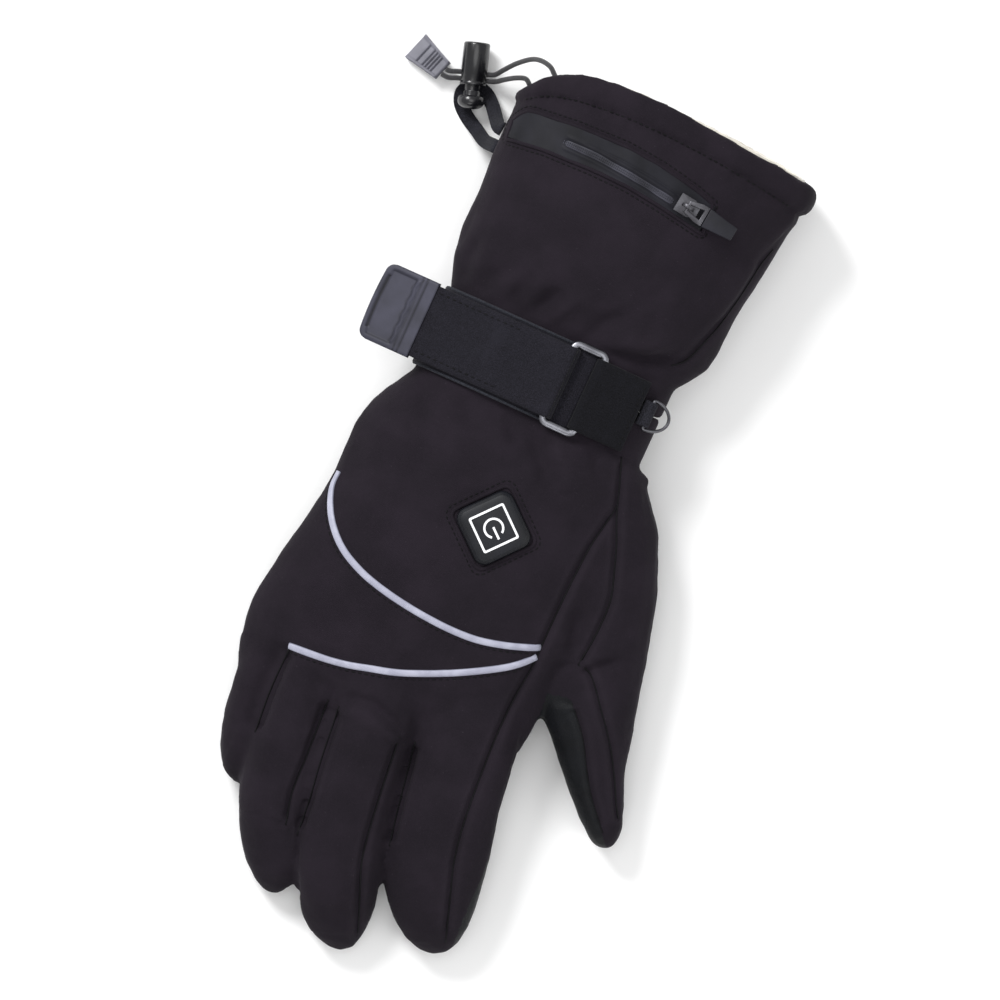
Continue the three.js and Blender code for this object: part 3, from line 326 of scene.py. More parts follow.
def setPlaces(bm, co):
    for vert, point in zip(bm.verts, co):
        vert.co = point


def ramp(values, start, end):
    t = np.clip((values - start) / (end - start), 0, 1)
    return t * t * (3 - 2 * t)


# How far each point lies from a line in plan, and where along it, from 0 to 1
def apart(points, line):
    line = np.array(line, float)[:, :2]
    steps = np.linalg.norm(np.diff(line, axis=0), axis=1)
    reach = np.concatenate([[0], np.cumsum(steps)])
    best, share = np.full(len(points), 1e9), np.zeros(len(points))
    for a, b, length, before in zip(line, line[1:], steps, reach):
        t = np.clip((points[:, :2] - a) @ (b - a) / length**2, 0, 1)
        gap = np.linalg.norm(points[:, :2] - a - t[:, None] * (b - a), axis=1)
        near = gap < best
        best[near], share[near] = gap[near], ((before + t * length) / reach[-1])[near]
    return best, share


# Which points belong to the outer wall: the wall is walked from its highest point, short of the open ends
def outerWall(bm, co, open):
    pairs = np.array([[v.index for v in e.verts] for e in bm.edges])
    pairs = pairs[~open[pairs].any(axis=1)]
    label = np.arange(len(co))
    for _ in range(400):
        least = np.minimum(label[pairs[:, 0]], label[pairs[:, 1]])
        fresh = label.copy()
        np.minimum.at(fresh, pairs[:, 0], least)
        np.minimum.at(fresh, pairs[:, 1], least)
        fresh = fresh[fresh]
        if (fresh == label).all():
            break
        label = fresh
    height = np.where(open, -1, co[:, 2])
    return (label == label[height.argmax()]) & ~open


def treeOf(*meshes):
    corners, faces = [], []
    for bm in meshes:
        bm.verts.index_update()
        start = len(corners)
        corners += [v.co.copy() for v in bm.verts]
        faces += [[v.index + start for v in f.verts] for f in bm.faces]
    return BVHTree.FromPolygons(corners, faces)


# Soft rounding noise for padded cloth, in millimetres
def lumps(points, size, seed):
    return np.array([noise.noise(Vector(p) / size + Vector((seed, 0, 0))) for p in points])


# Finishes
def softshellShader(finish):
    weave = finish.speckle(2600, 3, 0.7)
    thread = finish.turned(38, (1, 1, 1))
    twill = finish.node("ShaderNodeTexWave", {"wave_type": "BANDS", "bands_direction": "X"}, {
        "Vector": thread, "Scale": 520, "Distortion": 1.5, "Detail": 1, "Detail Scale": 2}, out="Fac")
    mottle = finish.speckle(55, 4, 0.55)
    lint = finish.speckle(1500, 1, 0.4).over(0.76, 0.82)
    cloth = finish.blend(mottle.over(0.3, 0.75), (23, 19, 25), (31, 26, 33))
    cloth = finish.blend(weave.over(0.35, 0.8) * 0.5, cloth, (39, 33, 41))
    cloth = finish.blend(lint * 0.25, cloth, (84, 78, 86))
    # Painted highlight: the pillows beside the seams and the crests of folds are lightened by the raised mark
    crestHighlight = finish.mark("raised")
    cloth = finish.blend(crestHighlight * 0.12, cloth, (52, 46, 54))
    relief = finish.bump(weave * 0.6 + twill * 0.4, 0.00014, 0.7)
    wrinkled = finish.speckle(190, 3, 0.55)
    relief = finish.bump(wrinkled, 0.0005, 0.6, relief)
    return finish.surface(cloth, 0.86 + mottle * 0.08, relief,
                          Sheen_Weight=0.03, Sheen_Roughness=0.4, Sheen_Tint=(200, 190, 204), Specular_IOR_Level=0.13)


def leatherShader(finish):
    grain = finish.cells(1150, "DISTANCE_TO_EDGE").over(0.0, 0.32)
    pores = finish.speckle(3000, 2, 0.6)
    mottle = finish.speckle(70, 3, 0.5)
    hide = finish.blend(mottle.over(0.3, 0.7), (7, 8, 12), (14, 16, 21))
    hide = finish.blend((1 - grain) * 0.5, hide, (3, 4, 6))
    relief = finish.bump(grain * 0.8 + pores * 0.2, 0.00016, 0.6)
    return finish.surface(hide, 0.56 + mottle * 0.14, relief, Specular_IOR_Level=0.2)


softshell = Finish("softshell")
softshellCloth = softshell.done(softshellShader(softshell))
twoSkins = Finish("softshell and palm leather")
share = twoSkins.mark("leather").over(0.46, 0.54)
skinShaders = [share, softshellShader(twoSkins), leatherShader(twoSkins)]
gloveSkin = twoSkins.done(twoSkins.node("ShaderNodeMixShader", None, skinShaders))


def webbingFinish(name, dark, light, ribs=1150.0, sheen=0.04):
    finish = Finish(name)
    along, across = finish.mark("along"), finish.mark("across")
    weft = (along * (2 * math.pi * ribs)).sine()
    warp = (across * (2 * math.pi * ribs * 0.8)).sine()
    fuzz = finish.speckle(2800, 3, 0.7)
    knit = weft * 0.3 + warp * 0.3 + fuzz * 1.2
    patch = finish.speckle(90, 3, 0.6)
    cloth = finish.blend(fuzz.over(0.35, 0.75), dark, light)
    cloth = finish.blend(patch.over(0.5, 0.8) * 0.3, cloth, light)
    return finish.done(finish.surface(cloth, 0.9, finish.bump(knit, 0.00014, 0.6),
                                      Sheen_Weight=sheen, Sheen_Roughness=0.5, Specular_IOR_Level=0.13))


strapCloth = webbingFinish("strap webbing", (16, 15, 20), (38, 37, 45))
# Painted shade: a darker copy of the strap webbing for the anchor, which lies in shade
anchorShadedWebbing = webbingFinish("anchor webbing with painted shade", (8, 8, 11), (24, 24, 30))
boundEdge = webbingFinish("strap's bound edge", (26, 27, 32), (58, 60, 68), 900)
tapeCloth = webbingFinish("tether tape", (14, 14, 18), (50, 50, 58), 1300)


def plainFinish(name, dark, light, rough, grain, depth, spread=0.1, shadedGrooves=False, **fixed):
    finish = Finish(name)
    fine = finish.speckle(grain, 3, 0.6)
    cloud = finish.speckle(90, 3, 0.5)
    colour = finish.blend(cloud.over(0.25, 0.75), dark, light)
    colour = finish.blend(fine.over(0.55, 0.85) * 0.4, colour, light)
    # Painted shade: the marked recesses are darkened as if in shadow
    if shadedGrooves:
        colour = finish.blend(finish.mark("groove") * 0.85, colour, (7, 7, 10))
    return finish.done(finish.surface(colour, rough + fine * spread, finish.bump(fine, depth, 0.5), **fixed))


tabRubber = plainFinish("moulded tab rubber", (45, 45, 55), (58, 58, 71), 0.46, 1800, 0.00006,
                        shadedGrooves=True, Specular_IOR_Level=0.25)
darkRubber = plainFinish("dark moulded rubber", (20, 20, 26), (32, 32, 40), 0.48, 1700, 0.00006,
                         Specular_IOR_Level=0.25)
panelFilm = plainFinish("laminated pocket panel", (15, 15, 20), (26, 26, 33), 0.55, 2200, 0.00005,
                        Specular_IOR_Level=0.17)
coilYarn = plainFinish("zip coil", (30, 30, 36), (62, 62, 72), 0.5, 2400, 0.00005, Specular_IOR_Level=0.25)
silicone = plainFinish("switch silicone", (11, 12, 17), (20, 22, 29), 0.42, 2600, 0.00004, Specular_IOR_Level=0.3)
whiteInk = plainFinish("white switch ink", (226, 227, 230), (246, 246, 248), 0.5, 1500, 0.00003)
glossBlack = plainFinish("gloss lock plastic", (12, 12, 15), (24, 24, 28), 0.2, 900, 0.00003, 0.08,
                         Specular_IOR_Level=0.6)
thread = plainFinish("black thread", (4, 4, 5), (13, 13, 16), 0.75, 3000, 0.00006, Specular_IOR_Level=0.2)
nickel = plainFinish("satin nickel", (98, 98, 104), (148, 149, 156), 0.28, 1400, 0.00003, 0.16, Metallic=1.0)
darkNickel = plainFinish("dark satin nickel", (64, 63, 67), (108, 108, 113), 0.32, 1400, 0.00003, 0.2, Metallic=1.0)
creamPile = plainFinish("cream pile", (196, 191, 180), (226, 222, 212), 0.95, 1300, 0.0004, Sheen_Weight=0.5)
cordEndRubber = plainFinish("ribbed end rubber", (82, 82, 90), (116, 116, 126), 0.48, 1600, 0.00006,
                            Specular_IOR_Level=0.4)


def reflectiveFinish():
    finish = Finish("reflective piping")
    beads = finish.speckle(3200, 2, 0.6)
    across = finish.mark("across")
    cloud = finish.speckle(160, 2, 0.5)
    colour = finish.blend(cloud.over(0.3, 0.7), (148, 149, 166), (168, 169, 185))
    colour = finish.blend(beads.over(0.5, 0.8) * 0.35, colour, (192, 194, 207))
    edge = (across.size() * 1000).over(1.15, 1.45)
    colour = finish.blend(edge * 0.7, colour, (86, 87, 102))
    return finish.done(finish.surface(colour, 0.44, finish.bump(beads, 0.00004, 0.5), Specular_IOR_Level=0.3))


def braidFinish():
    finish = Finish("braided elastic cord")
    along, around = finish.mark("along"), finish.mark("around")
    one = (along * 2400 + around * 8).sine()
    two = (along * 2400 - around * 8).sine()
    strand = one.sum("MAXIMUM", two)
    fuzz = finish.speckle(4200, 2, 0.6)
    colour = finish.blend(strand.over(-0.2, 0.9), (9, 9, 11), (44, 43, 47))
    colour = finish.blend(fuzz.over(0.66, 0.74) * 0.5, colour, (140, 140, 146))
    return finish.done(finish.surface(colour, 0.7, finish.bump(strand, 0.00012, 0.7), Sheen_Weight=0.2))


piping = reflectiveFinish()
braid = braidFinish()
print("finishes made")

# Padded hand: seams pull in between crowned panels, folds where the glove bends. Lines are on the drawing.
handPlan = {
    "voxel": 0.0014, "smoothing": 5, "foldGain": 2.3,
    "valleys": [  # wide dips between the fingers, with no thread: line, half width, depth
        ([(-39, -104), (-38.8, -120), (-38.4, -140), (-37.4, -160)], 4.6, 1.7),
        ([(-7, -109), (-6, -125), (-5, -145), (-3.5, -160)], 4.6, 1.7),
        ([(-65, -90), (-65.5, -105), (-66, -130)], 4.6, 1.7),
        ([(40, -60), (44, -68), (47, -78)], 4.0, 1.5),
    ],
    "seams": [  # line, half width, depth, and how long its ends fade
        ([(39, 3.5), (37, -5), (34.5, -15), (32.5, -30), (31, -45), (30, -58), (29.5, -66), (27, -80),
          (25.5, -95), (25, -110), (25, -125), (25.5, -138), (27, -150), (30, -162),
          (32.5, -172), (34.5, -180)], 1.5, 1.6, 0.04),
        ([(34, 22), (36, 15), (38, 8), (40, 0), (44, -11), (47, -22), (49, -30),
          (49.3, -38), (48, -50), (46, -60)], 1.3, 1.2, 0.05),
        ([(46, -60), (51, -61), (56, -67), (60, -73), (65, -80), (70, -88),
          (75, -98), (79, -107), (81.5, -111.5), (83.4, -114)], 1.3, 1.3, 0.08),
        ([(49, -75), (53, -80), (58, -87), (63, -97), (68, -106), (74, -114), (77.6, -118.6)], 1.3, 1.3, 0.1),
        ([(-10, -110), (-9.5, -130), (-8.5, -150), (-7, -162), (-4, -172), (0, -185), (2, -193)], 1.5, 1.5, 0.08),
        ([(-36, -107), (-35.5, -130), (-34.5, -145), (-34.5, -160)], 1.4, 1.5, 0.1),
        ([(-3.5, -110), (-2, -125), (-0.5, -140), (1, -152)], 1.4, 1.5, 0.1),
        ([(-41, -106), (-41.5, -130), (-42, -145), (-40, -158)], 1.4, 1.5, 0.1),
        ([(-62, -93), (-63.5, -110), (-63.5, -128)], 1.4, 1.5, 0.1),
    ],
    "folds": [  # line, half width, height
        ([(51, -61), (57, -56), (62, -53)], 2.2, -1.0),
        ([(-3, 22), (4, 12), (15, 0)], 4.5, -1.1),
        ([(4, 24), (12, 13), (22, 2)], 4.5, 0.8),
        ([(-14, 24), (-10, 18), (-5, 12)], 3.5, -0.8),
        ([(-30, 26), (-27, 18), (-20, 10)], 4.5, -0.7),
        ([(-48, 27), (-46, 18), (-42, 8)], 5.0, -0.9),
        ([(22, 24), (26, 15), (33, 8)], 3.5, -0.9),
        ([(45, 31), (47, 26), (49, 22)], 4.0, 0.6),
        ([(-38, -105), (-31, -102), (-24, -101.5), (-15, -105), (-8, -109.5)], 2.2, -1.0),
        ([(-37, -109), (-28, -107), (-18, -109), (-9, -113)], 3.0, 0.7),
        ([(-60, -95), (-52, -98), (-44, -104)], 2.6, -0.6),
        ([(-20, -40), (0, -42), (20, -38)], 12.0, 0.5),
        ([(38, -40), (42, -52), (44, -60)], 3.0, -0.8),
        ([(52, -68), (60, -82), (68, -98)], 6.0, 0.7),
        ([(10, -120), (16, -122), (23, -120)], 3.0, -0.35),
        ([(-30, -124), (-22, -126), (-14, -124)], 3.0, -0.35),
        ([(-60, -118), (-52, -121), (-45, -119)], 3.0, -0.35),
    ],
}


def shaped(bm, plan, wall):
    bm.normal_update()
    co, normals = arrayOf(bm)
    outer = wall(co * 1000, normals)
    place = co * 1000 - np.array(drawingShift)
    top = ramp(normals[:, 2], -0.25, 0.35)
    move = np.zeros(len(co))
    # How much painted highlight lightens each point: the pillows beside the seams and the crests of folds
    raised = np.zeros(len(co))
    nearest = np.full(len(co), 30.0)
    for line, half, depth, fade in plan["seams"]:
        gap, share = apart(place, line)
        ends = ramp(share, 0, fade) * ramp(1 - share, 0, fade)
        move -= top * ends * depth * np.exp(-(gap / half) ** 2)
        raised += top * ends * np.exp(-((gap - 2.6) / 1.1) ** 2)
        nearest = np.where(top * ends > 0.5, np.minimum(nearest, gap), nearest)
    move += top * plan.get("crown", 0.5) * (1 - np.exp(-(nearest / 7) ** 2)) * (nearest < 29)
    for line, half, depth in plan.get("valleys", ()):
        gap, share = apart(place, line)
        move -= top * ramp(share, 0, 0.12) * ramp(1 - share, 0, 0.12) * depth * np.exp(-(gap / half) ** 2)
    for line, half, height in plan["folds"]:
        gap, share = apart(place, line)
        bell = np.exp(-(gap / half) ** 2) * np.sin(np.pi * np.clip(share, 0.02, 0.98)) ** 0.5
        move += top * height * plan["foldGain"] * bell
        raised += top * max(height, 0) * bell * 0.6
    stretch = place * np.array([1.0, 0.55, 1.0])
    move += 1.0 * lumps(stretch, 26, 3) + 0.5 * lumps(stretch, 11, 9) + 0.18 * lumps(place, 5, 5)
    low = ramp(place[:, 2], 1.0, 6.0)
    lean = math.radians(-4.5)
    fromStrap = np.abs((place[:, 1] - 41) * math.cos(lean) - place[:, 0] * math.sin(lean))
    low *= ramp(fromStrap, 15.5, 19.5)
    co = co + normals * (move * outer * low)[:, None] / 1000
    co[:, 2] = np.maximum(co[:, 2], 0.0001)
    setPlaces(bm, co)
    mark = bm.verts.layers.float.new("raised")
    for vert, r in zip(bm.verts, raised * outer):
        vert[mark] = min(1.0, float(r))
    return bm, place


bm = softCopy("hand", ["hand_back", "palm_panel"], handPlan["voxel"], handPlan["smoothing"])
print("hand remeshed:", len(bm.verts), "points")
fine = [line for line, *_ in handPlan["seams"]]
places = np.array([v.co for v in bm.verts]) * 1000 - np.array(drawingShift)
close = np.min([apart(places, line)[0] for line in fine], axis=0) < 3.2
lifted = places[:, 2] > 12
bm.verts.ensure_lookup_table()
edges = [e for e in bm.edges if all(close[v.index] and lifted[v.index] for v in e.verts)]
bmesh.ops.subdivide_edges(bm, edges=edges, cuts=1, use_grid_fill=True)
bmesh.ops.triangulate(bm, faces=[f for f in bm.faces if len(f.verts) > 4])
bm, places = shaped(bm, handPlan, lambda mm, normals: outerWall(bm, mm, mm[:, 1] > 59.0).astype(float))
bm.normal_update()
palmTree, backTree = treeOf(copied("palm_panel")), treeOf(copied("hand_back"))
leatherMark = bm.verts.layers.float.new("leather")
thumbLine = [(40, -64), (49, -75), (53, -80), (58, -87), (63, -97), (68, -106), (74, -115), (79, -121), (84, -128)]
xs, ys = [p[0] for p in thumbLine], [-p[1] for p in thumbLine]
for vert, place in zip(bm.verts, places):
    side = backTree.find_nearest(vert.co)[3] - palmTree.find_nearest(vert.co)[3]
    value = min(0.5 + 300 * side, 0.5 + 3 * (0.15 - vert.normal.z))
    if place[0] > 38 and place[1] < -74:
        value = max(value, 0.5 + 0.3 * (np.interp(-place[1], ys, xs) - place[0]))
    vert[leatherMark] = min(1.0, max(0.0, value))
handShape = bm.copy()
hand = newPiece("padded_hand", bm, gloveSkin, standsFor=("hand_back", "palm_panel"))
print("hand shaped:", len(hand.data.polygons), "faces")

# Padded cuff: gathers where the strap cinches it, a side seam and a fold on the thumb side
cuffPlan = {
    "voxel": 0.0015, "smoothing": 5, "crown": 0.0, "foldGain": 2.3,
    "seams": [
        ([(67, 130), (60, 113), (57, 100), (53, 85), (50, 77), (45, 66), (40, 62)], 1.5, 1.2, 0.08),
        ([(-53, 95), (-53.5, 85), (-54, 75)], 1.4, 0.7, 0.2),
    ],
    "folds": [
        ([(-18, 62), (-14, 68), (-10, 75)], 3.2, -1.3),
        ([(-10, 62), (-7, 68), (-2, 74)], 2.6, 0.7),
        ([(-40, 63), (-38, 70), (-30, 77)], 4.0, -0.8),
        ([(-28, 62), (-25, 69), (-22, 78)], 3.0, -0.7),
        ([(15, 56), (30, 60), (40, 65)], 3.0, -1.3),
        ([(14, 62), (28, 66), (40, 72)], 4.0, 0.9),
        ([(6, 60), (10, 68), (18, 76)], 3.0, -0.7),
        ([(-48, 64), (-49, 72), (-48, 84)], 3.0, -0.7),
        ([(48, 84), (53, 96), (58, 112)], 5.0, 0.9),
        ([(30, 90), (38, 100), (46, 112)], 9.0, -0.7),
        ([(-30, 100), (0, 104), (30, 98)], 14.0, 0.8),
        ([(-40, 84), (-20, 92), (5, 92)], 8.0, -0.6),
    ],
}
hemLine = [(share * 121, 41 + along * 116) for share, along in (
    (-0.66, 0.76), (-0.496, 0.81), (-0.405, 0.85), (-0.34, 0.884), (-0.248, 0.901), (-0.083, 0.903), (0.083, 0.89),
    (0.248, 0.866), (0.372, 0.843), (0.512, 0.815), (0.595, 0.79), (0.7, 0.76))]


# The way out from the cuff's middle line at each point
def cuffSpokes(mm):
    spoke = (mm - np.array([mm[:, 0].mean(), 0, 28.0])) * np.array([0.5, 0, 1])
    return spoke / np.linalg.norm(spoke, axis=1)[:, None]


# How far each point faces out of the cuff, from 0 to 1
def outwardCuff(mm, normals):
    return ramp((cuffSpokes(mm) * normals).sum(axis=1), 0.05, 0.45)


# Hem: a drawcord channel that swells past its row of stitches, and short puckers along the row
hemPlan = {"valley": (1.5, 1.2), "crown": (0.9, 6.5, 4.2), "pucker": (0.75, 4.5, 3.0)}
bm = softCopy("cuff", ["cuff", "hem_band"], cuffPlan["voxel"], cuffPlan["smoothing"])
bm, places = shaped(bm, cuffPlan, outwardCuff)
bm.normal_update()
co, normals = arrayOf(bm)
gap, share = apart(places, hemLine)
past = np.sign(places[:, 1] - np.interp(places[:, 0], *zip(*hemLine)))
around = np.arctan2(places[:, 2] - 28, places[:, 0] - places[:, 0].mean()) * 45
half, depth = hemPlan["valley"]
move = -depth * np.exp(-(gap / half) ** 2)
height, distance, half = hemPlan["crown"]
move += height * np.exp(-((gap * past - distance) / half) ** 2)
height, half, length = hemPlan["pucker"]
ripple = np.stack([around, gap * past * 0.25, 0 * gap], axis=1)
move += height * np.exp(-(gap / half) ** 2) * lumps(ripple, length, 1)
co += normals * (move * outwardCuff(co * 1000, normals) * ramp(places[:, 2], 1, 6))[:, None] / 1000
co[:, 2] = np.maximum(co[:, 2], 0.0001)
setPlaces(bm, co)
cuffShape = bm.copy()
cuff = newPiece("padded_cuff", bm, softshellCloth, standsFor=("cuff", "hem_band"))
print("cuff shaped:", len(cuff.data.polygons), "faces")
skinTree = treeOf(handShape, cuffShape)


# Point and slope of the padded skin straight below a place on the drawing, lifted by some millimetres
def onSkin(x, y, lift=0.0, tree=None, span=1.6):
    tree = tree or skinTree
    high = Vector((0, 0, 0.2))
    down = Vector((0, 0, -1))

    def level(a, b):
        hit = tree.ray_cast(drawn(a, b) + high, down)[0]
        return hit.z * 1000 if hit else 0.0

    middle = level(x, y)
    tilt = Vector((level(x - span, y) - level(x + span, y), level(x, y - span) - level(x, y + span), 2 * span))
    tilt.normalize()
    return drawn(x, y, middle) + tilt * lift / 1000, tilt


def bedded(line, steps, lift, tree=None, span=1.6):
    path = smoothPath([(x, y, 0) for x, y in line], steps)
    pairs = [onSkin(p.x, p.y, 0, tree, span) for p in path]
    points, ups = [p for p, _ in pairs], [u for _, u in pairs]
    for _ in range(2):
        points = [points[0]] + [(a + b * 2 + c) / 4 for a, b, c in zip(points, points[1:], points[2:])] + [points[-1]]
        ups = [ups[0]] + [(a + b * 2 + c).normalized() for a, b, c in zip(ups, ups[1:], ups[2:])] + [ups[-1]]
    return [p + u * lift / 1000 for p, u in zip(points, ups)], ups


# A row of stitches along a path of points: one small rounded thread each
def stitches(bm, points, ups, pitch=2.6, long=1.8, wide=0.62, shift=0.0):
    reach = [0.0]
    for a, b in zip(points, points[1:]):
        reach.append(reach[-1] + (b - a).length * 1000)
    count = int(reach[-1] / pitch)
    for i in range(count):
        middle = (i + 0.5) * reach[-1] / count
        k = max(0, min(len(points) - 2, int(np.searchsorted(reach, middle)) - 1))
        forward = (points[k + 1] - points[k]).normalized()
        part = (middle - reach[k]) / max(reach[k + 1] - reach[k], 1e-9)
        up = ups[k].normalized()
        across = up.cross(forward).normalized()
        spot = points[k].lerp(points[k + 1], part) + across * shift / 1000
        turn = Matrix((across, up, forward)).transposed().to_4x4()
        size = Matrix.Diagonal((wide / 2000, wide / 2600, long / 2000, 1))
        bmesh.ops.create_uvsphere(bm, u_segments=6, v_segments=4, radius=1,
                                  matrix=Matrix.Translation(spot) @ turn @ size)
    return bm


# A closed row of stitches, and a closed roll of cloth, each laid on the skin along an outline
def stitchedRow(name, outline, size):
    row = [onSkin(x, y, 0.05, span=2.5) for x, y in outline]
    points, ups = zip(*row, row[0])
    newPiece(name, stitches(bmesh.new(), points, ups, *size), thread)


def clothRoll(name, outline, lift, radius):
    points, ups = zip(*[onSkin(x, y, lift, span=2.5) for x, y in outline])
    bm = sweep(bmesh.new(), framesAlong(points, ups, closed=True), roundOutline(radius, 8, 0.8), closed=True)
    newPiece(name, bm, softshellCloth)


print("skin ready")

# Seams: a dark line of thread at the bottom of each valley
bm = bmesh.new()
for line, *_ in handPlan["seams"] + cuffPlan["seams"]:
    points, ups = bedded(line, int(sum(math.dist(a, b) for a, b in zip(line, line[1:])) / 1.6), 0.12)
    held = [(p, u) for p, u in zip(points, ups) if p.z > 0.009 and u.z > 0.3]  # not past the outline
    if len(held) > 2:
        sweep(bm, framesAlong(*zip(*held)), roundOutline(0.00030, 6))
newPiece("panel_seam_threads", bm, thread)
print("seams laid")

# Light piping across the knuckles, rolled over a cord, with a stitched edge on its finger side
pipingPlan = {"width": 2.9, "rise": 0.95, "sink": 0.45, "stitchGap": 2.5}
pipingLines = {
    "piping_upper": [(-67.5, -21), (-68, -28), (-65, -37), (-60, -44.5), (-54, -50), (-45, -55), (-35, -58.5),
                     (-25, -61), (-15, -62.8), (-5, -64), (5, -64.2), (15, -62.8), (25, -60.3), (29.5, -58.7)],
    "piping_lower": [(-62.5, -91.5), (-50, -91.5), (-40, -90.8), (-30, -89), (-20, -87), (-10, -83.8), (0, -80),
                     (10, -75.5), (20, -70.3), (26, -66), (29.5, -62.6)],
}
half = pipingPlan["width"] / 2000
angles = [math.pi * i / 8 for i in range(16)]
dome = [(half * math.cos(a), pipingPlan["rise"] / 1000 * max(0, math.sin(a)) ** 0.75
         - pipingPlan["sink"] / 1000 * (math.sin(a) < -0.1)) for a in angles]
for name, line in pipingLines.items():
    points, ups = bedded(line, 90, -0.1)
    newPiece("rolled_" + name, sweep(bmesh.new(), framesAlong(points, ups), dome), piping, standsFor=(name,))
    aside = -pipingPlan["stitchGap"] / 1000
    shifted = [p + u.cross(n - p).normalized() * aside for p, n, u in zip(points, points[1:], ups)]
    onTop = [skinTree.ray_cast(p + Vector((0, 0, 0.1)), Vector((0, 0, -1)))[0] or p for p in shifted]
    newPiece(name + "_stitches", stitches(bmesh.new(), onTop, ups), thread)
print("piping laid")

# Wrist strap, in its own frame: X along the strap, Z up
strapPlan = {
    "width": 29.6, "thickness": 1.8, "lean": -4.5, "gap": 0.3,
    "sewn": 32.6,  # width of the layer that is sewn down
    "free": 26,  # length past the wrist's side
    "wrist": (96, 43, 3, -4.5),  # width, height, lift and sideways shift of the wrist
    "buckle": (7.6, 15.4, 1.1),  # middle, length and wire
    "anchor": (1.6, 34),  # thickness and end
    "loop": (1.2, 10.2, 40.3, 3.0),  # thickness, width, end and shift
    "ring": (8.3, 0.6, 20),  # reach, wire and tilt
}
strapFrame = Matrix.Translation(wristShift / 1000) @ Matrix.Rotation(math.radians(strapPlan["lean"]), 4, "Z")
wristWide, wristTall, wristLift, wristSide = strapPlan["wrist"]
power = 2.4


def wristPoint(angle, offset):
    c, s = math.cos(math.radians(angle)), math.sin(math.radians(angle))
    return (wristSide + (wristWide / 2 + offset) * math.copysign(abs(c) ** (2 / power), c),
            wristLift + wristTall / 2 + (wristTall / 2 + offset) * abs(s) ** (2 / power))


def wristTop(x, offset):
    share = abs(x - wristSide) / (wristWide / 2 + offset)
    return wristLift + wristTall / 2 + (wristTall / 2 + offset) * (1 - share**power) ** (1 / power)


def turnAround(centre, radius, start, end, steps):
    angles = [math.radians(start + (end - start) * i / steps) for i in range(steps + 1)]
    return [(centre[0] + radius * math.cos(a), centre[1] + radius * math.sin(a)) for a in angles]


# Frames of a band whose side view is a line in X and Z, shifted across the strap
def bandFrames(line, steps, shift=0.0):
    path = smoothPath([(x, 0, z) for x, z in line], steps)
    points, ups = [], []
    for i, p in enumerate(path):
        forward = (path[min(i + 1, steps)] - path[max(i - 1, 0)]).normalized()
        points.append(strapFrame @ ((p + Vector((0, shift, 0))) / 1000))
        ups.append(strapFrame.to_3x3() @ Vector((-forward.z, 0, forward.x)))
    return framesAlong(points, ups)


# Outline of a woven band, alike above and below, with a thicker selvedge
def wovenOutline(width, thickness, selvedge=0.12, steps=18):
    half, edge = width / 2000, thickness / 2000
    shares = [-1 + 2 * i / steps for i in range(steps + 1)]
    cord = [math.exp(-((abs(s) - 0.93) / 0.05) ** 2) for s in shares]
    dent = [0.8 * math.exp(-((abs(s) - 0.82) / 0.035) ** 2) for s in shares]
    rise = [edge + selvedge / 1000 * (c - d) for c, d in zip(cord, dent)]
    above = [(s * (half - edge * 0.5), r) for s, r in zip(shares, rise)]
    below = [(s * (half - edge * 0.5), -r) for s, r in zip(shares[::-1], rise[::-1])]
    return [(-half, 0.4 * edge), *above, (half, 0.4 * edge), (half, -0.4 * edge), *below, (-half, -0.4 * edge)][::-1]


low = strapPlan["gap"] + strapPlan["thickness"] / 2
high = low + strapPlan["thickness"] + strapPlan["gap"]
middle, length, wire = strapPlan["buckle"]
foldRadius = wire + strapPlan["gap"] + strapPlan["thickness"] / 2
nearBar, farBar = middle - length / 2 + wire, middle + length / 2 - wire
nearCentre = (nearBar, wristTop(nearBar, 0) + low + foldRadius)
farCentre = (farBar, wristTop(farBar, 0) + low + foldRadius)
lowerRun = [wristPoint(angle, low) for angle in (180, 170, 160, 150, 140, 130, 120, 110, 100)]
upperRun = [wristPoint(angle, high) for angle in (102, 110, 118, 124)]
freeWay = (Vector(upperRun[-1]) - Vector(upperRun[-2])).normalized()
strapEnd = tuple(Vector(upperRun[-1]) + freeWay * strapPlan["free"])
strapLine = lowerRun + turnAround(nearCentre, foldRadius, -90, 90, 8) + upperRun + [strapEnd]
bm = sweep(bmesh.new(), bandFrames(strapLine, 170), wovenOutline(strapPlan["width"], strapPlan["thickness"]))
newPiece("woven_wrist_strap", bm, strapCloth, standsFor=("wrist_strap",))
sewnRun = lowerRun[:-1] + [(x, wristTop(x, low)) for x in (-12, -6)]
underBuckle = [(x, wristTop(x, low)) for x in (0, 6, 11.4)]
bm = sweep(bmesh.new(), bandFrames(sewnRun + underBuckle, 90), wovenOutline(strapPlan["sewn"], 1.5, 0.0))
newPiece("sewn_strap_layer", bm, strapCloth)
bm = bmesh.new()
for side in (-1, 1):
    lift = [(x, z + 0.5) for x, z in sewnRun + [(1, wristTop(1, low))]]
    sweep(bm, bandFrames(lift, 80, side * (strapPlan["sewn"] / 2 - 0.25)), roundOutline(0.00062, 8))
newPiece("strap_bound_edges", bm, boundEdge)
bm = bmesh.new()
closing = upperRun + [strapEnd]
for side in (-1, 1):
    frames = bandFrames([(x, z) for x, z in closing], 90, side * (strapPlan["width"] / 2 - 2.6))
    ups = [-(f.to_3x3() @ Vector((0, 1, 0))) for f in frames]
    stitches(bm, [f.translation + u * 0.00095 for f, u in zip(frames, ups)][4:-12], ups[4:-12], 2.6, 1.7, 0.65)
print("strap laid")

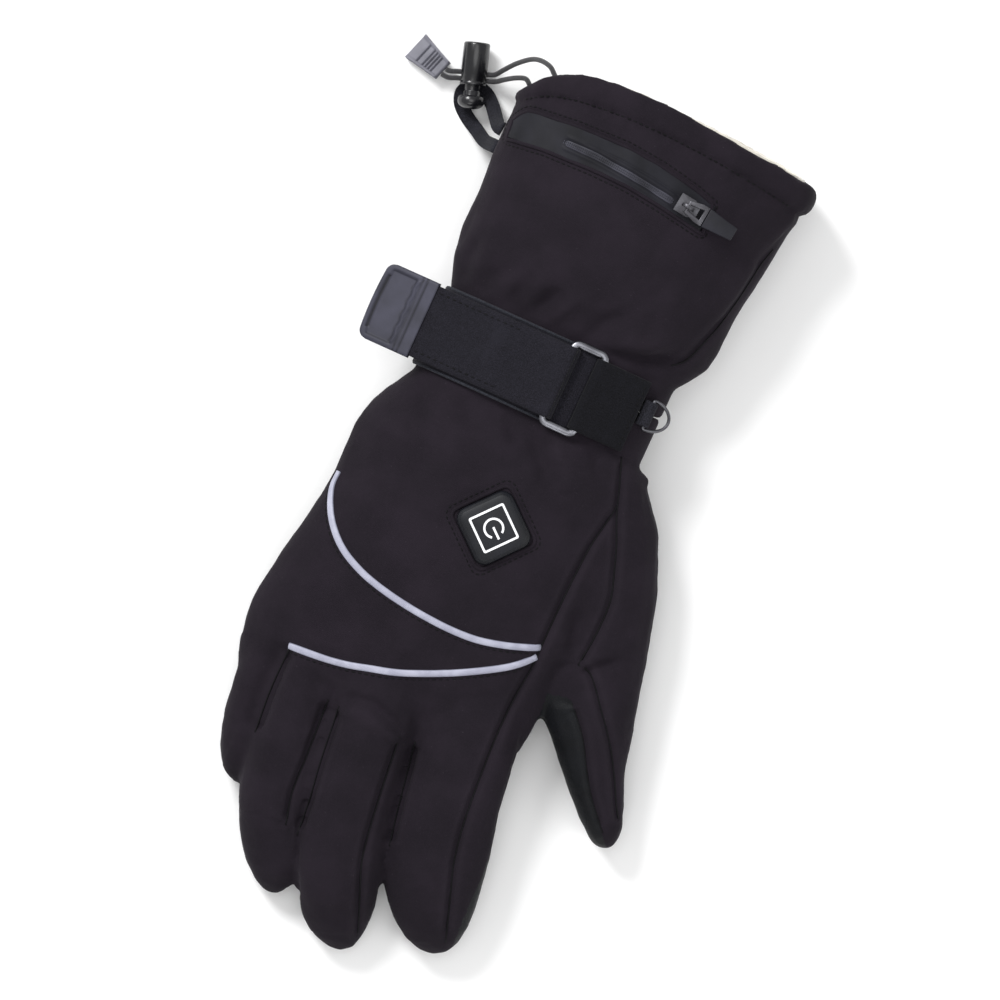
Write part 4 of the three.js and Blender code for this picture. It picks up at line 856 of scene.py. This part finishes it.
# Anchor that holds the buckle
anchorThick, anchorEnd = strapPlan["anchor"]
anchorRadius = wire + strapPlan["gap"] + anchorThick / 2
anchorLow = strapPlan["gap"] + anchorThick / 2
anchorHigh = anchorLow + anchorThick + strapPlan["gap"]
anchorPlaces = [farBar + (anchorEnd - farBar) * part for part in (0.45, 0.75, 1)]
anchorLine = [(x, wristTop(x, anchorLow)) for x in anchorPlaces[::-1]]
anchorLine += turnAround(farCentre, anchorRadius, 270, 90, 8)
anchorLine += [(x, wristTop(x, anchorHigh)) for x in anchorPlaces]
folded = sweep(bmesh.new(), bandFrames(anchorLine, 90), wovenOutline(strapPlan["width"], anchorThick))
newPiece("woven_strap_anchor", folded, anchorShadedWebbing, standsFor=("strap_anchor",))
for along in (19.6, 32.6):
    lift = wristTop(along, anchorHigh) + anchorThick / 2 + 0.02
    line = [strapFrame @ (Vector((along, y, lift)) / 1000) for y in np.linspace(-13, 13, 30)]
    stitches(bm, line, [Vector((0.12, 0, 1)).normalized()] * len(line), 2.2, 1.6, 0.62)
newPiece("strap_stitches", bm, thread)

# Buckle, small ring and its tape loop
def ringFrames(outline, place, tilt):
    turn = strapFrame @ Matrix.Translation(Vector(place) / 1000) @ Matrix.Rotation(tilt, 4, "Y")
    points = [turn @ (Vector((x, y, 0)) / 1000) for x, y in outline]
    return framesAlong(points, [turn.to_3x3() @ Vector((0, 0, 1))] * len(points), closed=True)


def roundedBox(width, height, corner, steps=8):
    made = []
    for cx, cy, start in ((1, -1, -90), (1, 1, 0), (-1, 1, 90), (-1, -1, 180)):
        centre = (cx * (width / 2 - corner), cy * (height / 2 - corner))
        made += turnAround(centre, corner, start, start + 90, steps)
    return made


def spread(outline, count):  # even points round a closed outline
    ring = np.array(outline + outline[:1])
    reach = np.concatenate([[0], np.cumsum(np.linalg.norm(np.diff(ring, axis=0), axis=1))])
    even = np.linspace(0, reach[-1], count, endpoint=False)
    return [(np.interp(s, reach, ring[:, 0]), np.interp(s, reach, ring[:, 1])) for s in even]


box = roundedBox(farBar - nearBar, strapPlan["width"] + 1.4 + 2 * wire, 2.2)
place = ((nearBar + farBar) / 2, 0, (nearCentre[1] + farCentre[1]) / 2)
tilt = math.atan2(nearCentre[1] - farCentre[1], farBar - nearBar)
bm = sweep(bmesh.new(), ringFrames(spread(box, 120), place, tilt), roundOutline(0.0015, 14, 0.6), closed=True)
newPiece("satin_buckle", bm, nickel, standsFor=("strap_buckle",))

loopThick, loopWide, loopEnd, loopShift = strapPlan["loop"]
ringReach, ringWire, ringTilt = strapPlan["ring"]
loopRadius = ringWire + strapPlan["gap"] + loopThick / 2
loopLow = strapPlan["gap"] + loopThick / 2
loopStart = anchorEnd + 3 * strapPlan["gap"]
loopBarPlace = loopEnd - loopRadius - loopThick / 2
loopBar = (loopBarPlace, wristTop(loopBarPlace, loopLow + loopRadius))
loopPlaces = [loopStart, loopStart + 0.3 * (loopEnd - loopStart)]
loopLine = ([(x, wristTop(x, loopLow)) for x in loopPlaces] + turnAround(loopBar, loopRadius, -118, 96, 9)
            + [(x, wristTop(x, loopLow + loopThick + strapPlan["gap"])) for x in loopPlaces[::-1]])
bm = sweep(bmesh.new(), bandFrames(loopLine, 60, loopShift), wovenOutline(loopWide, loopThick, 0.1, 10))
newPiece("woven_ring_loop", bm, tapeCloth, standsFor=("ring_loop",))
half = loopWide / 2 + ringWire + strapPlan["gap"]
angles = [math.radians(a) for a in range(-90, 91, 5)]
ringShape = [(ringWire + ringReach * math.cos(a), half * math.sin(a)) for a in angles]
ringShape += [(0, half - ringWire / 2), (0, ringWire / 2 - half)]
frames = ringFrames(spread(ringShape, 110), (loopBar[0], loopShift, loopBar[1]), math.radians(ringTilt))
bm = sweep(bmesh.new(), frames, roundOutline(0.00066, 10), closed=True)
newPiece("satin_small_ring", bm, darkNickel, standsFor=("small_ring",))
print("buckle and ring made")

# Moulded tab on the strap's end: bowed rim, long slot, stepped ridge and a sewn border
tabPlan = {"length": 22, "width": 31.5, "slot": 5, "round": 3.4, "bow": 0.9}
tabTurn = (strapFrame @ Matrix.Translation(Vector((strapEnd[0], 0, strapEnd[1])) / 1000)
           @ Matrix.Rotation(math.pi + math.atan2(freeWay.y, -freeWay.x), 4, "Y"))
outer = tabPlan["length"] - tabPlan["slot"]
halfWide = tabPlan["width"] / 2


def tabReach(y):  # bowed outer end, rounded into the sides
    corner = tabPlan["round"]
    near = max(0.0, abs(y) - (halfWide - corner)) / corner
    return outer + tabPlan["bow"] * (1 - (y / halfWide) ** 2) - corner * (1 - math.sqrt(max(0.0, 1 - near * near)))


bm = bmesh.new()
bmesh.ops.create_grid(bm, x_segments=44, y_segments=64, size=1)
for vert in bm.verts:
    y = vert.co.y * halfWide
    start = 0.2 - tabPlan["slot"]
    vert.co = (start + (tabReach(y) - start) * (vert.co.x + 1) / 2, y, 0)
grooveShadeMark = bm.verts.layers.float.new("groove")
for vert in bm.verts:
    x, y = vert.co.x, vert.co.y
    rim = min((tabReach(y) - x) / 1.3, (halfWide - abs(y)) / 1.1, 1)
    top = 1.25 + 0.45 * math.sqrt(max(0.0, 1 - (1 - max(0.0, rim)) ** 2))
    bow = x - (outer - 2.4 + tabPlan["bow"] * (1 - (y / halfWide) ** 2))
    slot = 1.35 * math.exp(-(bow / 0.42) ** 2) * (abs(y) < 11.2)
    dish = 0.62 * min(1, max(0, (x - 3.6) / 0.5)) * (bow < -0.4) * (abs(y) < halfWide - 2.2)
    step = 0.6 * math.exp(-((x - 3.1 - 0.3 * math.sin(y * 1.1)) / 0.42) ** 2) * (abs(y) < halfWide - 2.6)
    border = 0.55 * math.exp(-((x + 0.2) / 0.3) ** 2) + 0.5 * math.exp(-((x - 1.6) / 0.25) ** 2)
    vert.co.z = top - 0.95 * slot - dish + step - border
    # Where painted shade darkens the tab: the slot, the border grooves, the foot of the step and the dish's walls
    foot = math.exp(-((x - 4.4 - 0.3 * math.sin(y * 1.1)) / 0.35) ** 2) * (abs(y) < halfWide - 2.6)
    wall = math.exp(-((abs(y) - halfWide + 2.3) / 0.3) ** 2) * (x > 3.6) * (bow < -0.4)
    vert[grooveShadeMark] = min(1.0, slot + 1.6 * border + 0.7 * foot + 0.7 * wall)
topFaces = bm.faces[:]
made = bmesh.ops.extrude_face_region(bm, geom=topFaces)["geom"]
for vert in [g for g in made if isinstance(g, bmesh.types.BMVert)]:
    vert.co.z = -1.35
bmesh.ops.recalc_face_normals(bm, faces=bm.faces)
bmesh.ops.transform(bm, matrix=tabTurn @ Matrix.Scale(0.001, 4) @ Matrix.Diagonal((1, -1, -1, 1)), verts=bm.verts)
newPiece("moulded_strap_tab", bm, tabRubber, standsFor=("strap_tab",))
print("tab made")

# Zip pocket: film panel with a shallow slot, coil, welt and stitching round it
pocketPlan = {
    "top": [(-45, 136.3), (-25, 136.5), (-5, 135.5), (10, 133), (25, 129), (34, 125.8)],
    "bottom": [(-50.2, 123), (-35, 123.5), (-15, 122.5), (0, 121), (15, 118), (30, 114.5), (34, 113.8)],
    "coil": [(-29, 129.1), (-15, 128), (0, 125.5), (10, 123.5), (19, 121.5)],
    "flap": [(-20, 131.2), (-5, 129.8), (8, 127.6), (20, 124.6)],
    "ends": (-50.0, 33.6),
}
tops, bottoms = np.array(pocketPlan["top"]), np.array(pocketPlan["bottom"])


def pocketSpan(x):
    above, below = np.interp(x, tops[:, 0], tops[:, 1]), np.interp(x, bottoms[:, 0], bottoms[:, 1])
    above -= 5.5 * max(0.0, (-45 - x) / 5.0) ** 1.6
    return below, above


steps = 96
xs = np.linspace(*pocketPlan["ends"], steps + 1)
middleLine = [((x), sum(pocketSpan(x)) / 2) for x in xs]
points, ups = bedded(middleLine, steps, 0.25, span=2.5)
frames = framesAlong(points, ups)
panelFrames = []
for x, m in zip(xs, frames):
    below, above = pocketSpan(x)
    lean = abs((m.to_3x3() @ Vector((1, 0, 0))).y)
    panelFrames.append(m @ Matrix.Diagonal(((above - below) * max(lean, 0.5) / 13.4, 1, 1, 1)))
bm = sweep(bmesh.new(), panelFrames, bandOutline(13.4 / 1000, 0.9 / 1000, 34))
bm.normal_update()
co = np.array([v.co for v in bm.verts]) * 1000 - np.array(drawingShift)
coilGap, coilShare = apart(co, pocketPlan["coil"])
flapGap = apart(co, pocketPlan["flap"])[0]
ends = ramp(coilShare, 0, 0.04) * ramp(1 - coilShare, 0, 0.02)
move = -0.75 * np.exp(-(coilGap / 1.15) ** 2) * ends + 0.28 * np.exp(-((coilGap - 2.3) / 0.7) ** 2) * ends
move += -0.3 * np.exp(-(flapGap / 0.35) ** 2) + 0.1 * lumps(co, 7, 2)
for vert, m in zip(bm.verts, move):
    if vert.normal.z > 0.3:
        vert.co.z += m / 1000
newPiece("film_zip_panel", bm, panelFilm, standsFor=("zip_panel",))
points, ups = bedded(pocketPlan["coil"], 60, 0.55, span=2.5)
bm = bmesh.new()
stitches(bm, points, ups, 0.8, 0.5, 0.9, 0.45)
stitches(bm, points, ups, 0.8, 0.5, 0.9, -0.45)
sweep(bm, framesAlong([p - u * 0.00022 for p, u in zip(points, ups)], ups), bandOutline(0.0030, 0.0003, 4))
newPiece("woven_zip_coil", bm, coilYarn, standsFor=("zip_coil",))
border = [(x, pocketSpan(x)[1]) for x in np.linspace(*pocketPlan["ends"], 40)]
border += [(x, pocketSpan(x)[0]) for x in np.linspace(*pocketPlan["ends"][::-1], 40)]
border = spread(border, 220)
clothRoll("pocket_welt", border, 0.45, 0.00075)
ring = np.array(border)
centre = ring.mean(axis=0)
tangent = np.roll(ring, -1, axis=0) - np.roll(ring, 1, axis=0)
outwards = np.stack([tangent[:, 1], -tangent[:, 0]], axis=1)
outwards *= np.sign(((ring - centre) * outwards).sum(axis=1).mean()) / np.linalg.norm(outwards, axis=1)[:, None]
stitchedRow("pocket_stitches", ring + outwards * 2.1, (2.3, 1.7, 0.62))
newPiece("nickel_zip_slider", refined("zip_slider", 0.00022, 2), darkNickel, standsFor=("zip_slider",))
newPiece("nickel_pull_frame", refined("pull_frame", 0.00028, 3), darkNickel, "zip_pull", ("pull_frame",))
newPiece("rubber_pull_tab", refined("pull_tab", 0.0004, 3), darkRubber, "zip_pull", ("pull_tab",))
print("pocket made")

# Stitches in the hem's valley, and the pile lining inside
points, ups = bedded([(x, y + 0.3) for x, y in hemLine[2:-2]], 90, 0.05, None, 2.0)
newPiece("hem_stitches", stitches(bmesh.new(), points, ups, 2.5, 1.8, 0.75), thread)
liningPlan = {"voxel": 0.0008, "smoothing": 2, "tuckedIn": 0.45, "pastRim": 0.8}
bm = softCopy("lining", ["cuff_lining"], liningPlan["voxel"], liningPlan["smoothing"])
co, _ = arrayOf(bm)
mm = co * 1000
flatter = mm * np.array([1, 1, 0.2])
tufts = 0.16 * lumps(flatter, 2.4, 6) + 0.25 * lumps(flatter, 8, 2)
co += cuffSpokes(mm) * (tufts - liningPlan["tuckedIn"])[:, None] / 1000
co[:, 1] += liningPlan["pastRim"] / 1000 * ramp(mm[:, 0], 8, 24)  # shows as a thin line towards the thumb
setPlaces(bm, co)
newPiece("pile_lining", bm, creamPile, standsFor=("cuff_lining",))
print("lining made")

# Switch key, its fabric lip and sewn border
keyPlan = {"at": (-3.4, -21), "side": 25.6, "lip": 0.8, "border": 29.4, "turn": 45}
newPiece("soft_switch_key", refined("switch_key", 0.0009, 4, 18), silicone, standsFor=("switch_key",))
for name in ("switch_mark_square", "switch_mark_ring", "switch_mark_bar"):
    nodes[name].data.materials.clear()
    nodes[name].data.materials.append(whiteInk)


def keySquare(side, corner, count):
    c, s = math.cos(math.radians(keyPlan["turn"])), math.sin(math.radians(keyPlan["turn"]))
    atX, atY = keyPlan["at"]
    square = spread(roundedBox(side, side, corner), count)
    return [(atX + c * x - s * y, atY + s * x + c * y) for x, y in square]


clothRoll("switch_lip", keySquare(keyPlan["side"], 3, 120), 0.1, keyPlan["lip"] / 1000)
stitchedRow("switch_stitches", keySquare(keyPlan["border"], 4, 140), (2.3, 1.6, 0.6))
print("switch made")

# Drawcord: both ends come out of the hem, pass through the lock and end in the ribbed piece
lockPlan = {
    "at": (-72.5, 106.75, 6.7), "lean": 13.6,
    "radius": 5.2, "length": 17,  # the barrel
    "neck": 4.2, "head": (5.3, 5.2), "stem": 3.35,  # the plunger: its head is given as radius and length
    "hole": 3.6, "travel": 3.2,
}
lockFrame = Matrix.Translation(fromWrist(*lockPlan["at"])) @ Matrix.Rotation(math.radians(lockPlan["lean"]), 4, "Z")


def spun(profile, turn, sides=48):  # profile of radius and height along Y, in millimetres
    bm = bmesh.new()
    ring = [bm.verts.new((r / 1000, y / 1000, 0)) for r, y in profile]
    edges = [bm.edges.new(pair) for pair in zip(ring, ring[1:])]
    bmesh.ops.spin(bm, geom=ring + edges, cent=(0, 0, 0), axis=(0, 1, 0), dvec=(0, 0, 0), angle=2 * math.pi,
                   steps=sides, use_merge=True, use_normal_flip=False, use_duplicate=False)
    bmesh.ops.remove_doubles(bm, verts=bm.verts, dist=1e-6)
    bmesh.ops.recalc_face_normals(bm, faces=bm.faces)
    bmesh.ops.transform(bm, matrix=turn, verts=bm.verts)
    return bm


def crossCut(piece, half, height, shift):
    bm = bmesh.new()
    reach = 0.03  # longer than the lock is wide
    size = Matrix.Diagonal((reach, 2 * half / 1000, 2 * height / 1000, 1))
    bmesh.ops.create_cube(bm, size=1, matrix=lockFrame @ Matrix.Translation((0, shift / 1000, 0)) @ size)
    edges = [e for e in bm.edges if abs(e.calc_length() - reach) < 1e-4]
    bmesh.ops.bevel(bm, geom=edges, offset=height / 1000 * 0.7, offset_type="OFFSET", affect="EDGES",
                    segments=4, profile=0.5, material=-1)
    mesh = bpy.data.meshes.new("hole")
    bm.to_mesh(mesh)
    bm.free()
    cutter = bpy.data.objects.new("hole", mesh)
    bpy.context.scene.collection.objects.link(cutter)
    cut = piece.modifiers.new("hole", "BOOLEAN")
    cut.operation, cut.object, cut.solver = "DIFFERENCE", cutter, "EXACT"
    finished(piece)
    bpy.data.objects.remove(cutter)


openEnd = -lockPlan["length"] / 2
radius = lockPlan["radius"]
holeAt = openEnd + lockPlan["hole"]
shut = -openEnd
barrelProfile = [
    (0, 5.5), (3.55, 5.5), (3.6, openEnd + 0.2), (3.8, openEnd), (radius - 0.45, openEnd),
    (radius - 0.12, openEnd + 0.12), (radius, openEnd + 0.45), (radius, openEnd + 1.3),
    (radius - 0.14, openEnd + 1.45), (radius - 0.14, openEnd + 1.6), (radius, openEnd + 1.75), (radius, shut - 0.9),
    (radius - 0.1, shut - 0.5), (radius - 0.35, shut - 0.15), (radius - 0.8, shut), (radius - 1.4, shut),
    (radius - 1.7, shut - 0.25), (0, shut - 0.25)]
barrel = newPiece("gloss_lock_barrel", spun(barrelProfile, lockFrame), glossBlack, standsFor=("lock_barrel",))
crossCut(barrel, 2.8, 1.6, holeAt)
headTop = openEnd - lockPlan["neck"]
headRadius, headLength = lockPlan["head"]
headEnd = headTop - headLength
stemEnd = openEnd + 14 - lockPlan["travel"] - 0.6
stem = lockPlan["stem"]
angles = np.linspace(0.15, math.pi / 2, 9)
plungerProfile = [(0, headEnd)]
plungerProfile += [(headRadius * math.sin(a) ** 0.8, headEnd + headLength * 0.6 * (1 - math.cos(a))) for a in angles]
plungerProfile += [
    (headRadius * 0.99, headTop - 1.4), (headRadius * 0.95, headTop - 0.5), (headRadius * 0.88, headTop),
    (stem + 0.3, headTop), (stem, headTop + 0.3), (stem, headTop + 1.6), (stem - 0.25, headTop + 1.8),
    (stem - 0.25, headTop + 2.4), (stem, headTop + 2.6), (stem, stemEnd), (0, stemEnd)]
bm = spun(plungerProfile, lockFrame)
plunger = newPiece("gloss_lock_plunger", bm, glossBlack, "lock_plunger", ("lock_plunger",))
crossCut(plunger, 2.8 + lockPlan["travel"] / 2, 1.6, holeAt - lockPlan["travel"] / 2)

# Ribbed end: side rails, cross ribs and a flat grip, wider at its far end
endPlan = {"at": (-83.3, 99.9, 5.9), "length": 15.3, "narrow": 8.6, "wide": 12.4, "thickness": 4.2}
endTurn = Matrix.Translation(fromWrist(*endPlan["at"]))
endTurn = endTurn @ Matrix.Rotation(math.pi - 0.4, 4, "Z") @ Matrix.Rotation(0.22, 4, "Y")
steps = 76
ribbed = []
for i in range(steps + 1):
    x = endPlan["length"] * i / steps
    wide = endPlan["narrow"] + (endPlan["wide"] - endPlan["narrow"]) * (i / steps) ** 1.25
    nearEnds = (x / 0.9, (endPlan["length"] - x) / 0.7)
    rounding = min(math.sqrt(max(0.02, 1 - max(0, 1 - share) ** 2)) for share in nearEnds)
    ribbed.append(endTurn @ Matrix(((0, 0, 1, x / 1000), (1, 0, 0, 0), (0, 1, 0, 0), (0, 0, 0, 1)))
                  @ Matrix.Diagonal((wide / endPlan["wide"] * (0.94 + 0.06 * rounding), rounding, 1, 1)))
half, edge = endPlan["wide"] / 2000, endPlan["thickness"] / 2000
shares = [-1 + 2 * i / 24 for i in range(25)]
rail = [edge - 0.00055 * (abs(s) < 0.8) for s in shares]
outline = [(s * half, r) for s, r in zip(shares, rail)] + [(s * half, -r) for s, r in zip(shares[::-1], rail[::-1])]
bm = sweep(bmesh.new(), ribbed, outline[::-1])
back = endTurn.inverted()
for vert in bm.verts:
    local = back @ vert.co * 1000
    wide = endPlan["narrow"] + (endPlan["wide"] - endPlan["narrow"]) * local.x / endPlan["length"]
    if abs(local.z) > 0.9 and abs(local.y) < 0.76 * wide / 2:
        groove = max(math.exp(-((local.x - g) / 0.28) ** 2) for g in (3.4, 4.8, 6.2, 7.6, 10.4))
        local.z -= math.copysign(1.1 * groove, local.z)
        vert.co = endTurn @ (local / 1000)
end = newPiece("ribbed_cord_end", bm, cordEndRubber, standsFor=("cord_end",))


cordPlan = {
    "drawcord_upper": [
        (-40.1, 110.2, 43.6), (-41.5, 111.9, 43.2), (-44, 114.2, 41.8), (-48, 115.4, 37), (-52, 114.9, 30.5),
        (-57, 111.8, 21.5), (-61, 108.1, 13), (-63.3, 105.7, 8.2), (-65.6, 104.7, 6.75), (-71.66, 103.25, 6.7),
        (-77.4, 101.86, 6.7), (-80.6, 100.9, 6.6), (-82.47, 100.96, 6.1)],
    "drawcord_lower": [
        (-49.2, 105.4, 27), (-51.6, 107.2, 25.6), (-55.4, 106.4, 21), (-59.4, 104.6, 13.6), (-62.4, 102.95, 8.2),
        (-65, 102.2, 6.75), (-71.04, 100.73, 6.7), (-76.9, 99.3, 6.7), (-80.6, 98.2, 6.6), (-83.48, 98.57, 6.1)],
}
for name, route in cordPlan.items():
    path = smoothPath([fromWrist(*p) for p in route], 70)
    tube = roundOutline(0.001, 12)
    bm = sweep(bmesh.new(), framesAlong(path, [Vector((0.1, 0, 1))] * len(path)), tube[3:] + tube[:3])
    aroundMark = bm.verts.layers.float.new("around")
    for vert in bm.verts:
        vert[aroundMark] = vert[bm.verts.layers.float["across"]] * 1500
    cord = newPiece("braided_" + name, bm, braid, standsFor=(name,))
tapeRoute = [
    (-52.9, 78.3, 25.6), (-54.6, 78.5, 24), (-58.6, 79.4, 14), (-63, 82.6, 4.4), (-69, 86.8, 0.9), (-72.8, 91, 0.75),
    (-73.4, 95.6, 0.75), (-69.6, 98.6, 0.75), (-64.6, 97.6, 1.2), (-60.4, 93.6, 6), (-57.4, 89.2, 14),
    (-55.2, 86.2, 23), (-53.4, 85.6, 25)]
path = smoothPath([fromWrist(*p) for p in tapeRoute], 90)
bm = sweep(bmesh.new(), framesAlong(path, [Vector((0, 0, 1))] * len(path)), wovenOutline(5.6, 0.9, 0.08, 10))
tape = newPiece("woven_lock_tape", bm, tapeCloth, standsFor=("lock_tape",))
print("cords and lock made")

# Floor and light
floorMesh = bmesh.new()
bmesh.ops.create_grid(floorMesh, x_segments=1, y_segments=1, size=6)
paper = Finish("pale paper")
tint = paper.speckle(40, 2, 0.5)
paperTint = paper.blend(tint * 0.1, (250, 250, 250), (244, 244, 245))
paperSheet = paper.done(paper.surface(paperTint, 0.9, Specular_IOR_Level=0.1))
floorData = bpy.data.meshes.new("floor")
floorMesh.to_mesh(floorData)
floorMesh.free()
floorData.materials.append(paperSheet)
floor = bpy.data.objects.new("floor", floorData)
bpy.context.scene.collection.objects.link(floor)

lights = {  # place in metres, size and power; each looks at the glove
    "key": ((-1.1, 0.9, 1.3), 0.7, 30),
    "side": ((1.3, -0.2, 1.1), 0.9, 6),
    "front": ((0.1, -1.4, 1.2), 1.0, 5),
    "top": ((0.0, 0.2, 2.4), 1.6, 12),
}
for name, (place, size, power) in lights.items():
    data = bpy.data.lights.new(name, "AREA")
    data.shape, data.size, data.energy = "DISK", size, power
    lamp = bpy.data.objects.new(name, data)
    lamp.location = place
    lamp.rotation_mode = "QUATERNION"
    lamp.rotation_quaternion = (Vector((0, 0, 0.03)) - Vector(place)).to_track_quat("-Z", "Y")
    bpy.context.scene.collection.objects.link(lamp)
world = bpy.data.worlds.new("white room")
world.use_nodes = True
world.node_tree.nodes["Background"].inputs["Color"].default_value = (1, 1, 1, 1)
world.node_tree.nodes["Background"].inputs["Strength"].default_value = 0.55
bpy.context.scene.world = world
bpy.context.scene.view_settings.view_transform = "Standard"

print("scene ready")
